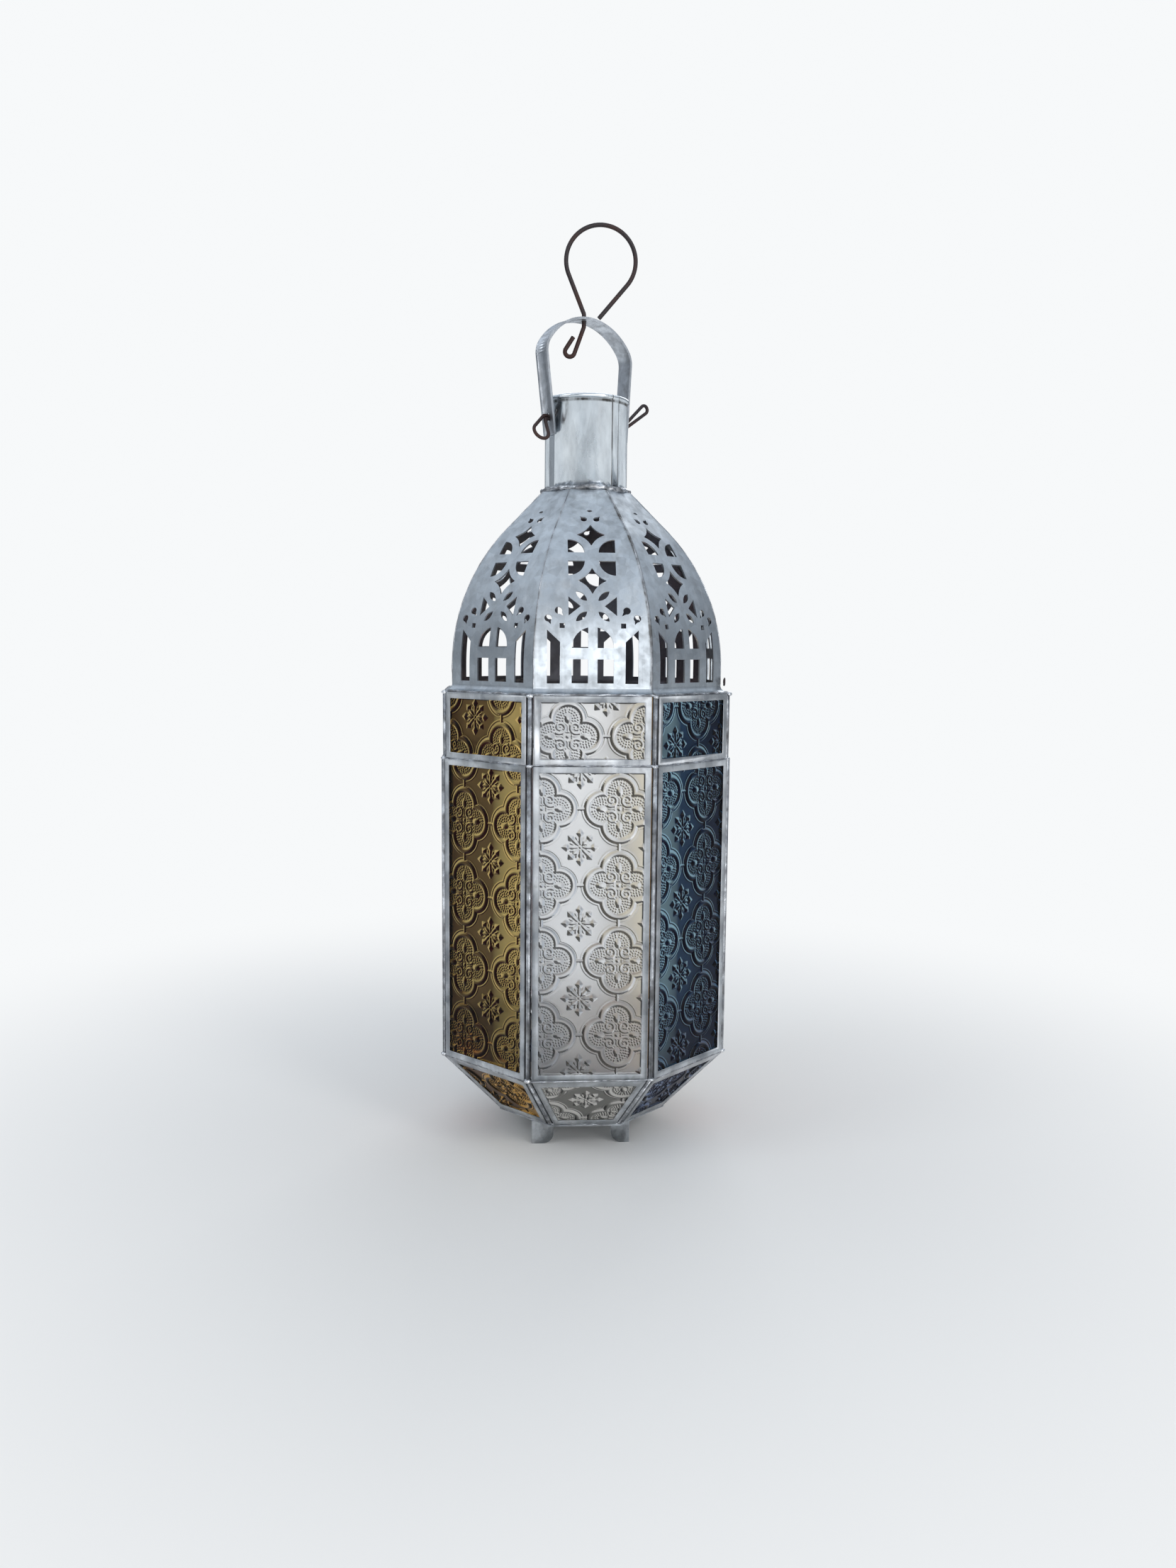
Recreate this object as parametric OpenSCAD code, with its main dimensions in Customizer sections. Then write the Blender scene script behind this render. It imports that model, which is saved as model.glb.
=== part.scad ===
/* [Body] */
// Width of the tall tier across its flats
body_flats = 145; // [130:1:160]
// Height of the tall tier
main_h = 152.4; // [135:0.1:175]
// Height of the short tier above it
band_h = 33; // [29:0.5:42]
// How far the short tier stands back from the tall one
band_setback = 0.7; // [0.3:0.1:1.5]
// Height of the tapered tier
taper_h = 33.4; // [31:0.1:38]
// Width of the base across its flats
base_flats = 86.6; // [80:0.1:92]
// Gap between stacked tiers
tier_gap = 0.3; // [0.2:0.05:0.5]

/* [Panes and channel frames] */
// Thickness of the folded sheet of the frames
sheet_t = 0.5; // [0.4:0.05:0.7]
// Thickness of the pressed glass
glass_t = 3; // [2.4:0.1:3.6]
// Play between the glass and its channel
glass_play = 0.1; // [0.05:0.05:0.2]
// Visible width of a frame's lip
lip_w = 3; // [2.4:0.1:4]
// Play beside the seam strips
seam_play = 0.43; // [0.35:0.01:0.6]
// Visible width of the taper's lower lip
taper_low_lip = 4.5; // [3.5:0.1:5.5]
// How far the taper's upper lip covers its glass
taper_grip = 1.2; // [0.8:0.1:2]

/* [Door] */
// Radius of the door's hinge wire
hinge_wire_r = 0.7; // [0.6:0.05:0.8]
// Running play of the hinge wire in its knuckles
hinge_play = 0.08; // [0.05:0.01:0.1]
// Height of one hinge knuckle
knuckle_h = 6; // [4:0.5:9]
// Distance of the hinge knuckles from the frame's ends
knuckle_inset = 14; // [10:0.5:20]
// Radius of the wire of the door pull
pull_wire_r = 0.8; // [0.6:0.05:1]
// Height of the door pull
pull_h = 12; // [9:0.5:16]
// How far the door pull stands out
pull_out = 4.5; // [4.5:0.5:8]

/* [Base, feet and candle cup] */
// Thickness of the base plate
base_t = 0.8; // [0.6:0.1:1.2]
// Height of the feet
foot_h = 12; // [10:0.5:16]
// Width of the left feet
left_foot_w = 11.3; // [9:0.1:12]
// Width of the right feet
right_foot_w = 9.5; // [9:0.1:12]
// Distance of the left feet past the corner of the base plate
left_foot_out = 2; // [0:0.1:2.5]
// Distance of the right feet short of that corner
right_foot_in = 1.6; // [0:0.1:3]
// Thickness of a foot's sheet
foot_t = 0.8; // [0.6:0.1:1.2]
// Radius of a foot's rounded inner corner
foot_round = 5.5; // [4:0.1:7]
// Depth of the flange that fixes a foot to the base plate
foot_flange = 7; // [5:0.5:10]
// Distance of a foot's face from the edge of the base plate
foot_setback = 7.8; // [6:0.1:10]
// Radius of the candle cup's bore
cup_r = 20; // [19.5:0.1:21]
// Wall of the candle cup
cup_t = 0.5; // [0.4:0.1:0.8]
// Height of the candle cup
cup_h = 11; // [8:0.5:14]

/* [Dome] */
// Distance from the tall tier's faces in to the dome's upright wall
dome_inset = 5.3; // [4:0.1:7]
// Thickness of the dome's sheet
dome_t = 0.8; // [0.6:0.05:1]
// Height of the dome's upright wall
dome_wall_h = 12.4; // [10:0.1:16]
// Radius of the dome panels' bend
dome_arc_r = 100; // [92:1:108]
// Lean of the dome at the neck, in degrees from upright
dome_slope = 43; // [40:0.5:46]
// Radius of the flare at the dome's foot
cove_r = 3; // [2:0.1:4]
// Gap between neighbouring dome panels
dome_seam = 0.1; // [0.06:0.02:0.2]

/* [Neck] */
// Outer radius of the neck tube
neck_r = 21; // [19:0.1:23]
// Wall of the neck tube
neck_t = 0.6; // [0.5:0.05:0.9]
// Height of the neck above the dome
neck_h = 46.9; // [42:0.1:55]
// Radius of the wire rolled into the rim
rim_r = 1.1; // [0.8:0.05:1.4]
// Depth of the tube inside the dome
neck_tuck = 4; // [2:0.5:6]
// Play between the neck and what stands round it
neck_play = 0.15; // [0.1:0.05:0.25]
// Height of the solder collar
collar_h = 3; // [2:0.1:4]
// Width of the solder collar at its foot
collar_w = 1.8; // [1.3:0.1:2.4]
// Width of the tube's lap seam
lap_w = 4.2; // [3:0.1:6]
// Thickness of the lap seam
lap_t = 0.35; // [0.3:0.05:0.5]
// Place of the lap seam, in degrees from the front
lap_turn = 40; // [35:1:50]

/* [Handle] */
// Turn of the handle from the side axis, in degrees
handle_turn = 31.5; // [20:0.5:45]
// Width of the strap
strap_w = 10; // [8:0.5:12]
// Thickness of the strap
strap_t = 0.8; // [0.6:0.1:1]
// Width of the hem along each edge
hem_w = 1.5; // [1:0.1:2]
// Extra thickness of the hem
hem_t = 0.35; // [0.2:0.05:0.5]
// Play between a leg's end and the neck
leg_play = 0.5; // [0.4:0.05:0.8]
// Height of the arch above the pins
arch_rise = 50.2; // [47:0.1:56]
// Outer radius of the arch
arch_r = 29.1; // [27:0.1:31]
// Outer radius of the shoulders
shoulder_r = 11; // [9:0.1:12]
// Sideways lean of the arch's top, towards the left pin
handle_lean = 2; // [0:0.1:2.5]
// Half sweep of the arch, in degrees
arch_sweep = 56; // [50:1:60]
// Height of the pins below the neck's rim
pin_drop = 10.8; // [10:0.1:14]
// Length of a leg below its pin
leg_tail = 8.6; // [6:0.1:10]

/* [Handle pins] */
// Radius of the pin wire
pin_wire_r = 0.85; // [0.7:0.05:1]
// Play of the doubled wire in its holes
pin_play = 0.2; // [0.15:0.05:0.3]
// Radius of the left pin's loop
left_loop_r = 4.1; // [3:0.1:4.3]
// Distance from the strap to the middle of the left loop
left_loop_out = 9.8; // [9.4:0.1:11.5]
// Roll of the left pin about its own axis, in degrees
left_loop_roll = 27; // [15:1:32]
// Slope of the left loop below the pin, in degrees
left_loop_drop = 64; // [58:0.5:65]
// Distance from the strap to the bends of the left pin
left_loop_clear = 1.4; // [1.3:0.1:2]
// Radius of the right pin's loop
right_loop_r = 2.1; // [1.9:0.1:2.6]
// Distance from the strap to the middle of the right loop
right_loop_out = 16.6; // [13:0.1:18]
// Length of the bent-over ends inside the neck
pin_end = 3.5; // [2.5:0.1:5]

/* [Hook] */
// Radius of the hook wire
hook_wire_r = 1.1; // [0.9:0.05:1.3]
// Play of the wire in the strap's hole
hook_play = 0.3; // [0.25:0.05:0.5]
// Radius of the hanging loop at the middle of the wire
hook_loop_r = 17.5; // [15:0.1:20]
// Sideways place of the loop's middle from the strap's hole
hook_side = 8.3; // [7:0.1:10]
// Lean of the strand that rises from the strap's hole, in degrees
hook_lean = 22.3; // [20:0.1:28]
// Lean of the strand that comes back to the strap, in degrees
hook_back_lean = 40.5; // [36:0.5:44]
// Lean of the strand below the strap, in degrees
curl_lean = 20; // [15:0.5:26]
// Length of the strand below the strap
curl_drop = 15.5; // [12:0.1:17]
// Radius of the curl at the middle of the wire
curl_r = 2.45; // [2:0.05:3]
// Length of the curl's free end
curl_end = 7; // [5:0.1:8]
// Radius of the wire's small bends
bend_r = 3; // [2:0.1:4]

/* [Wire tie] */
// Radius of the tie's wire
tie_wire_r = 0.45; // [0.35:0.05:0.6]
// Radius of the tie's ring
tie_r = 1.3; // [1:0.1:1.7]
// Height of the tie above the foot of the dome
tie_rise = 5.4; // [4.5:0.1:7]

/* [Hidden] */
sides = 8;
step = 360 / sides;
half = step / 2;
door_face = 4;
pin_sides = ["right", "left"];

// Cuts run this far past the faces that they open
over = sheet_t;
$fn = 96;

tin = [0.62, 0.67, 0.70];
bright_tin = [0.70, 0.74, 0.77];
solder = [0.52, 0.55, 0.57];
rust = [0.22, 0.16, 0.14];
glass_colours = [
    [0.80, 0.82, 0.82, 0.5], [0.08, 0.20, 0.34, 0.75],
    [0.42, 0.06, 0.07, 0.75], [0.44, 0.33, 0.08, 0.75]];

// Heights of the tiers
taper_z = foot_h + base_t;
main_z = taper_z + taper_h;
band_z = main_z + main_h;
dome_z0 = band_z + band_h;

// Channel frames: the glass slot, the depth and the inset of a frame's sides from the corner
slot_d = glass_t + 2 * glass_play;
frame_d = slot_d + 2 * sheet_t;
side_inset = frame_d * tan(half) + seam_play;
seam_r = (side_inset - seam_play) / (1 + tan(half));
body_apothem = body_flats / 2;
band_apothem = body_apothem - band_setback;
base_apothem = base_flats / 2;
main_w = 2 * (body_apothem * tan(half) - side_inset);
band_w = 2 * (band_apothem * tan(half) - side_inset);
glass_inset = sheet_t + glass_play;

// Taper: its lean from upright, its length down the slope and where its glass starts and ends
taper_run = body_apothem - base_apothem;
taper_lean = atan(taper_run / taper_h);
taper_len = norm([taper_run, taper_h]);
taper_slot_top = (sheet_t + slot_d) * tan(taper_lean) + (sheet_t + tier_gap) / cos(taper_lean);
taper_slot_end = taper_len - sheet_t / cos(taper_lean);
taper_top_lip = taper_slot_top + glass_play + taper_grip;

// Dome panel: its bend, measured at the middle of a face
dome_flats = body_flats - 2 * dome_inset;
dome_apothem = dome_flats / 2;
bend_z = dome_z0 + dome_wall_h;
bend_len = dome_arc_r * dome_slope * PI / 180;
bend_end_a = dome_apothem - dome_arc_r * (1 - cos(dome_slope));
bend_end_z = bend_z + dome_arc_r * sin(dome_slope);
dome_top_a = neck_r + neck_play + dome_t / cos(dome_slope);
slope_len = (bend_end_a - dome_top_a) / sin(dome_slope);
dome_top_z = bend_end_z + slope_len * cos(dome_slope);
dome_len = dome_wall_h + bend_len + slope_len;

// Heights round the neck and the handle
rim_z = dome_top_z + neck_h;
pin_z = rim_z - pin_drop;
arch_z = pin_z + arch_rise;
leg_end_z = pin_z - leg_tail;

// Shoulder of the handle, and the splay of its legs
shoulder_x = (arch_r - shoulder_r) * sin(arch_sweep);
shoulder_z = arch_z - arch_r + (arch_r - shoulder_r) * cos(arch_sweep);
leg_rise = shoulder_z - leg_end_z;
leg_in = neck_r + leg_play + strap_t - shoulder_x;
leg_splay = asin(shoulder_r / norm([leg_rise, leg_in])) - atan(leg_in / leg_rise);
leg_len = leg_rise / cos(leg_splay) - shoulder_r * tan(leg_splay);
arch_steps = 28;
shoulder_steps = 10;
leg_x_at_pin = neck_r + leg_play + strap_t + leg_tail * tan(leg_splay);

// Doubled pin wire and its holes
strand_off = pin_wire_r + pin_play / 2;
pin_spread = 50;
curl_turn = 193;
bead_share = 1.04;
bead_gap_share = 0.1;
pin_hole_r = strand_off + pin_wire_r + pin_play;
pin_exit = leg_x_at_pin + pin_wire_r + pin_play;

// Pierced pattern: its sizes and rows follow the panel's developed length
pattern_w = 0.3771 * dome_len;
pierce_depth = 8 * dome_t;

// Half thickness of the middle bars and size of the openings, as shares of the pattern's width
mullion_share = 0.0512;
arch_r_share = 0.23;
window_h_share = 0.26;
slot_in_share = 0.358;
slot_out_share = 0.5;
slot_low_share = 0.23;
slot_in_top_share = 0.22;
slot_out_top_share = 0.352;
square_share = 0.056;
square_x_share = 0.335;
drop_r_share = 0.0407;
drop_shares = [[0.374, 0.35, -0.056, -0.063], [0.487, 0.317, -0.028, -0.07]];
drop_neck_share = 0.8;
petal_len_share = 0.165;
petal_w_share = 0.067;
petal_x_share = 0.123;
petal_y_share = 0.116;
petal_turn = 42;
tri_in_share = 0.131;
tri_out_share = 0.265;
tri_half_share = 0.109;
diamond_share = 0.156;
diamond_arc_share = 0.278;
diamond_off_share = 0.2614;
wheel_x_share = 0.263;
wheel_bar_share = 0.0558;
wheel_r_share = 0.184;
bud_x_share = 0.071;
bud_r_share = 0.035;

// Rows of the pattern, as shares of the panel's developed length
window_row_share = 0.0987;
arch_row_share = 0.1943;
slot_row_share = 0.135;
square_row_share = 0.286;
flower_row_share = 0.369;
diamond_row_shares = [0.4816, 0.714];
wheel_row_share = 0.5965;
bud_row_share = 0.808;
tip_row_share = 0.8605;

function main_name(kind, i) = i == door_face ? str("door_", kind) : str("main_", kind, "_", i + 1);

// Place on the dome's outer face at a distance q up the developed panel
function dome_lean(q) = min(max(q - dome_wall_h, 0), bend_len) / dome_arc_r * 180 / PI;
function past_bend(q) = max(q - dome_wall_h - bend_len, 0);
function dome_a(q) = dome_apothem - dome_arc_r * (1 - cos(dome_lean(q))) - past_bend(q) * sin(dome_slope);
function dome_z(q) = dome_z0 + min(q, dome_wall_h) + dome_arc_r * sin(dome_lean(q))
    + past_bend(q) * cos(dome_slope);

module on_face(i, apothem = 0) {
    rotate([0, 0, i * step]) translate([0, -apothem, 0]) children();
}

// Extrudes a profile of distance from the axis and height along the width of a face
module across_face(w) {
    rotate([90, 0, -90]) linear_extrude(height = w, center = true) children();
}

// Extrudes an outline of width and height through a wall
module through_wall(d) {
    rotate([90, 0, 0]) linear_extrude(height = d, center = true) children();
}

// Part of a flat ring between two directions, counted clockwise from upright
module ring_sector(outer, inner, a0, a1) {
    reach = 2 * outer;
    intersection() {
        difference() {
            circle(r = outer, $fn = 180);
            circle(r = inner, $fn = 180);
        }
        polygon(concat([[0, 0]], [for (k = [0:3]) let (a = a0 + (a1 - a0) * k / 3) reach * [sin(a), cos(a)]]));
    }
}

module both_sides() {
    children();
    mirror([1, 0]) children();
}

// Channel frame that stands on its lower edge, with its outer face at y = 0
module channel_frame(w, h) {
    difference() {
        translate([-w / 2, 0, 0]) cube([w, frame_d, h]);
        translate([-w / 2 + sheet_t, sheet_t, sheet_t])
            cube([w - 2 * sheet_t, slot_d, h - 2 * sheet_t]);
        translate([-w / 2 + lip_w, -over, lip_w])
            cube([w - 2 * lip_w, frame_d + 2 * over, h - 2 * lip_w]);
    }
}

module pane(w, h) {
    translate([-w / 2 + glass_inset, glass_inset, glass_inset])
        cube([w - 2 * glass_inset, glass_t, h - 2 * glass_inset]);
}

module glass_tint(i) {
    color(glass_colours[i % len(glass_colours)]) children();
}

module band_frames() {
    color(tin) for (i = [0:sides - 1])
        on_face(i, band_apothem) translate([0, 0, band_z + tier_gap / 2])
            channel_frame(band_w, band_h - tier_gap);
}

module band_glass(i) {
    glass_tint(i) on_face(i, band_apothem) translate([0, 0, band_z + tier_gap / 2])
        pane(band_w, band_h - tier_gap);
}

// Distance of the corner seams from the middle of a face
seam_x = (body_apothem - seam_r) * tan(half);

// Knuckles on one upright edge of a frame, with the tab that folds round the hinge wire
module knuckled_frame(side, knuckle_zs) {
    difference() {
        union() {
            channel_frame(main_w, main_h - tier_gap);
            for (z = knuckle_zs) translate([side * seam_x, seam_r, z]) {
                cylinder(r = seam_r, h = knuckle_h);
                translate([side > 0 ? main_w / 2 - sheet_t / 2 - seam_x : 0, -seam_r, 0])
                    cube([seam_x - main_w / 2 + sheet_t / 2, sheet_t, knuckle_h]);
            }
        }
        translate([side * seam_x, seam_r, -over])
            cylinder(r = hinge_wire_r + hinge_play, h = main_h + 2 * over);
    }
}

knuckle_top = main_h - tier_gap - knuckle_inset - knuckle_h;
knuckle_gap = tier_gap;

module main_frame(i) {
    color(tin) on_face(i, body_apothem) translate([0, 0, main_z + tier_gap / 2]) {
        if (i == door_face)
            knuckled_frame(1, [knuckle_inset + knuckle_h + knuckle_gap, knuckle_top - knuckle_h - knuckle_gap]);
        else if (i == door_face + 1)
            knuckled_frame(-1, [knuckle_inset, knuckle_top]);
        else
            channel_frame(main_w, main_h - tier_gap);
    }
}

module main_glass(i) {
    glass_tint(i) on_face(i, body_apothem) translate([0, 0, main_z + tier_gap / 2])
        pane(main_w, main_h - tier_gap);
}

module door_hinge_wire() {
    color(rust) on_face(door_face, body_apothem)
        translate([seam_x, seam_r, main_z + tier_gap])
            cylinder(r = hinge_wire_r, h = main_h - 2 * tier_gap);
}

// Wire staple on the free edge of the door, opposite the hinge
module door_pull() {
    r = bend_r - pull_wire_r;
    leg = pull_out - r - pull_wire_r;
    color(rust) on_face(door_face, body_apothem)
        translate([-main_w / 2 + lip_w / 2, 0, main_z + main_h / 2]) rotate([0, 0, -90])
            wire_run([0, -pull_h / 2], 0, [[leg, r, 90], [pull_h - 2 * r, r, 90], [leg, 0, 0]], pull_wire_r);
}

// Upright strips of the corners: the tall tier has one less, where the door's hinge wire stands
module seam_strips() {
    color(solder) for (i = [0:sides - 1]) {
        if (i != door_face) on_face(i, body_apothem)
            translate([seam_x, seam_r, main_z + tier_gap / 2]) cylinder(r = seam_r, h = main_h - tier_gap);
        on_face(i, band_apothem)
            translate([seam_x - band_setback * tan(half), seam_r, band_z + tier_gap / 2])
                cylinder(r = seam_r, h = band_h - tier_gap);
    }
}

// Half width of the taper's frame at a distance u down its slope
function taper_half(u) = (body_apothem - u * sin(taper_lean)) * tan(half) - side_inset;

// Sheet in the slope of a face, from u0 to u1 down the slope and d deep from the depth y0
module taper_sheet(u0, u1, edge, y0, d) {
    w0 = taper_half(u0) - edge;
    w1 = taper_half(u1) - edge;
    translate([0, y0, 0]) rotate([-90, 0, 0]) linear_extrude(height = d)
        polygon([[-w0, u0], [w0, u0], [w1, u1], [-w1, u1]]);
}

module on_taper(i) {
    on_face(i, body_apothem) translate([0, 0, main_z]) rotate([taper_lean, 0, 0]) children();
}

module taper_frames() {
    color(tin) for (i = [0:sides - 1]) on_taper(i) difference() {
        intersection() {
            taper_sheet(-frame_d, taper_len + frame_d, 0, 0, frame_d);
            rotate([-taper_lean, 0, 0]) translate([-body_apothem, -frame_d, -taper_h])
                cube([2 * body_apothem, body_apothem, taper_h - tier_gap / 2]);
        }
        taper_sheet(taper_slot_top, taper_slot_end, sheet_t, sheet_t, slot_d);
        taper_sheet(taper_top_lip, taper_len - taper_low_lip, lip_w, -over, frame_d + 2 * over);
    }
}

module taper_glass(i) {
    glass_tint(i) on_taper(i)
        taper_sheet(taper_slot_top + glass_play, taper_slot_end - glass_play, glass_inset, glass_inset, glass_t);
}

// Strips along the taper's corners, from just below the tall tier to the base plate
module taper_seams() {
    top_r = (body_apothem - seam_r / cos(taper_lean)) / cos(half);
    low_r = (base_apothem - seam_r / cos(taper_lean)) / cos(half);
    hip_lean = atan((top_r - low_r) / taper_h);
    color(solder) for (i = [0:sides - 1]) rotate([0, 0, (i + 0.5) * step]) intersection() {
        translate([0, -low_r, taper_z]) rotate([hip_lean, 0, 0])
            translate([0, 0, -seam_r]) cylinder(r = seam_r, h = norm([top_r - low_r, taper_h]) + 2 * seam_r);
        translate([-seam_r, -2 * body_apothem, taper_z])
            cube([2 * seam_r, 2 * body_apothem, taper_h - tier_gap / 2]);
    }
}

module base_plate() {
    color(tin) translate([0, 0, foot_h]) rotate([0, 0, half])
        cylinder(r = base_apothem / cos(half), h = base_t, $fn = sides);
}

module candle_cup() {
    color(bright_tin) translate([0, 0, taper_z]) difference() {
        cylinder(r = cup_r + cup_t, h = cup_h);
        translate([0, 0, cup_t]) cylinder(r = cup_r, h = cup_h);
    }
}

// Upright leaf with one rounded corner, on a flange under the base plate
module foot(k) {
    foot_y = base_apothem - foot_setback;
    is_left = k % 2 == 1;
    foot_w = is_left ? left_foot_w : right_foot_w;
    foot_x = base_apothem * sqrt(2) - foot_y - foot_w - foot_t + (is_left ? left_foot_out : -right_foot_in);
    color(tin) mirror([k % 2, 0, 0]) mirror([0, k > 2 ? 1 : 0, 0]) translate([foot_x, -foot_y, 0]) {
        translate([0, foot_t, 0]) rotate([90, 0, 0]) linear_extrude(height = foot_t) difference() {
            square([foot_w, foot_h]);
            difference() {
                square([foot_round, foot_round]);
                translate([foot_round, foot_round]) circle(r = foot_round);
            }
        }
        translate([0, 0, foot_h - foot_t]) cube([foot_w, foot_flange, foot_t]);
    }
}

// Section of a dome panel: flared foot, upright wall, bend and straight slope
module dome_section() {
    translate([dome_apothem + cove_r, dome_z0 + dome_t + cove_r])
        ring_sector(cove_r + dome_t, cove_r, 180, 270);
    translate([dome_apothem - dome_t, dome_z0 + dome_t + cove_r])
        square([dome_t, dome_wall_h - dome_t - cove_r]);
    translate([dome_apothem - dome_arc_r, bend_z])
        ring_sector(dome_arc_r, dome_arc_r - dome_t, 90 - dome_slope, 90);
    polygon([
        [bend_end_a, bend_end_z], [dome_top_a, dome_top_z],
        [dome_top_a - dome_t / cos(dome_slope), dome_top_z],
        [bend_end_a - dome_t * cos(dome_slope), bend_end_z - dome_t * sin(dome_slope)]]);
}

// Cuts an outline square through the panel, at a share of the developed length
module pierce(row_share) {
    q = row_share * dome_len;
    translate([0, -dome_a(q), dome_z(q)]) rotate([-dome_lean(q), 0, 0])
        through_wall(pierce_depth) children();
}

module drop_hole(r, tip) {
    circle(r = r, $fn = 32);
    n = [-tip[1], tip[0]] / norm(tip) * drop_neck_share;
    polygon([r * n, tip, -r * n]);
}

module petal_hole(l, w) {
    r = (l * l + w * w) / (4 * w);
    intersection() {
        translate([0, r - w / 2]) circle(r = r);
        translate([0, w / 2 - r]) circle(r = r);
    }
}

// Diamond whose four sides bow inwards
module diamond_hole() {
    d = diamond_share * pattern_w;
    difference() {
        polygon([[d, 0], [0, d], [-d, 0], [0, -d]]);
        for (x = [-1, 1]) for (y = [-1, 1])
            translate(diamond_off_share * pattern_w * [x, y]) circle(r = diamond_arc_share * pattern_w);
    }
}

module arch_windows() {
    r = arch_r_share * pattern_w;
    m = mullion_share * pattern_w;
    h = window_h_share * pattern_w;
    pierce(window_row_share) both_sides() translate([m, -h / 2]) square([r - m, h]);
    pierce(arch_row_share) both_sides() intersection() {
        circle(r = r);
        translate([m, 0]) square([r, r]);
    }
}

module side_slots() {
    pierce(slot_row_share) both_sides() polygon(pattern_w * [
        [slot_in_share, -slot_low_share], [slot_out_share, -slot_low_share],
        [slot_out_share, slot_out_top_share], [slot_in_share, slot_in_top_share]]);
}

module drops_and_squares() {
    pierce(square_row_share) both_sides()
        translate([square_x_share * pattern_w, 0]) square(square_share * pattern_w, center = true);
    for (d = drop_shares) pierce(d[1]) both_sides()
        translate([d[0] * pattern_w, 0]) drop_hole(drop_r_share * pattern_w, pattern_w * [d[2], d[3]]);
}

module flower() {
    pierce(flower_row_share) both_sides() {
        for (s = [-1, 1]) translate(pattern_w * [petal_x_share, s * petal_y_share]) rotate(s * petal_turn)
            petal_hole(petal_len_share * pattern_w, petal_w_share * pattern_w);
        polygon(pattern_w * [[tri_in_share, 0], [tri_out_share, -tri_half_share], [tri_out_share, tri_half_share]]);
    }
}

// Four quarter discs round a cross
module wheel() {
    r = wheel_r_share * pattern_w;
    pierce(wheel_row_share) both_sides() for (s = [-1, 1])
        translate(pattern_w * [wheel_x_share, s * wheel_bar_share]) intersection() {
            circle(r = r);
            translate([-r, s > 0 ? 0 : -r]) square(r);
        }
}

module buds() {
    pierce(bud_row_share) both_sides()
        translate([bud_x_share * pattern_w, 0])
            drop_hole(bud_r_share * pattern_w, bud_r_share * pattern_w * [1.2, 1.4]);
    pierce(tip_row_share) petal_hole(1.8 * bud_r_share * pattern_w, bud_r_share * pattern_w);
}

module dome_panel(i) {
    apex = dome_seam / 2 / sin(half);
    color(tin) on_face(i) difference() {
        intersection() {
            across_face(dome_flats) dome_section();
            linear_extrude(height = rim_z)
                polygon([[0, -apex], [dome_flats * tan(half), -apex - dome_flats],
                    [-dome_flats * tan(half), -apex - dome_flats]]);
        }
        arch_windows();
        side_slots();
        drops_and_squares();
        flower();
        for (row = diamond_row_shares) pierce(row) diamond_hole();
        wheel();
        buds();
    }
}

module pin_holes() {
    rotate([0, 0, handle_turn]) translate([0, 0, pin_z]) rotate([0, 90, 0])
        cylinder(r = pin_hole_r, h = 4 * neck_r, center = true);
}

module neck_tube() {
    tube_z = dome_top_z - neck_tuck;
    lap_z = dome_top_z + collar_h + neck_play;
    lap_half = lap_w / neck_r * 90 / PI;
    color(bright_tin) difference() {
        union() {
            rotate_extrude() {
                translate([neck_r - neck_t, tube_z]) square([neck_t, rim_z - rim_r - tube_z]);
                translate([neck_r - neck_t / 2, rim_z - rim_r]) circle(r = rim_r, $fn = 48);
            }
            translate([0, 0, lap_z]) linear_extrude(height = rim_z - rim_r - lap_z)
                ring_sector(neck_r + lap_t, neck_r - neck_t / 2, 180 - lap_turn - lap_half,
                    180 - lap_turn + lap_half);
        }
        pin_holes();
    }
}

module neck_collar() {
    inner = neck_r + neck_play / 2;
    color(solder) rotate_extrude() polygon([
        [inner, dome_top_z], [neck_r + collar_w, dome_top_z],
        [neck_r + collar_w, dome_top_z + collar_h / 4],
        [inner + collar_w / 3, dome_top_z + collar_h], [inner, dome_top_z + collar_h]]);
}

// Right half of the strap's side view at a distance past its outer face, from the top to the leg's end
function strap_side(past) = let (shoulder = [shoulder_x, shoulder_z], turn = 90 + leg_splay - arch_sweep) concat(
    [for (k = [0:arch_steps]) let (a = arch_sweep * k / arch_steps)
        [0, arch_z - arch_r] + (arch_r + past) * [sin(a), cos(a)]],
    [for (k = [1:shoulder_steps]) let (a = arch_sweep + turn * k / shoulder_steps)
        shoulder + (shoulder_r + past) * [sin(a), cos(a)]],
    [shoulder + (shoulder_r + past) * [cos(leg_splay), -sin(leg_splay)]
        - leg_len * [sin(leg_splay), cos(leg_splay)]]);

function strap_edge(past, way) = let (r = strap_side(past), n = len(r) - 1)
    [for (k = [-n:n]) let (p = r[abs(k)])
        [way * sign(k) * p[0] - handle_lean * (p[1] - leg_end_z) / (arch_z - leg_end_z), p[1]]];

module strap(w, swell) {
    through_wall(w) polygon(concat(strap_edge(swell, 1), strap_edge(-strap_t, -1)));
}

module handle() {
    slit = hem_w / 2;
    color(tin) difference() {
        rotate([0, 0, handle_turn]) difference() {
            union() {
                strap(strap_w, 0);
                for (s = [-1, 1]) translate([0, s * (strap_w - hem_w) / 2, 0]) strap(hem_w, hem_t);
            }
            translate([-handle_lean, 0, shoulder_z]) cylinder(r = hook_wire_r + hook_play, h = arch_r + arch_rise);
            translate([-leg_x_at_pin - strap_w / 2, -slit, pin_z + pin_hole_r + slit])
                cube([strap_w, slit, 3 * slit]);
        }
        pin_holes();
    }
}

// Pieces of a wire that lies in the plane of X and Z: they meet inside beads a trifle wider than it
module wire_bead(p, r) {
    translate([p[0], 0, p[1]]) sphere(r = bead_share * r, $fn = 32);
}

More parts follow.
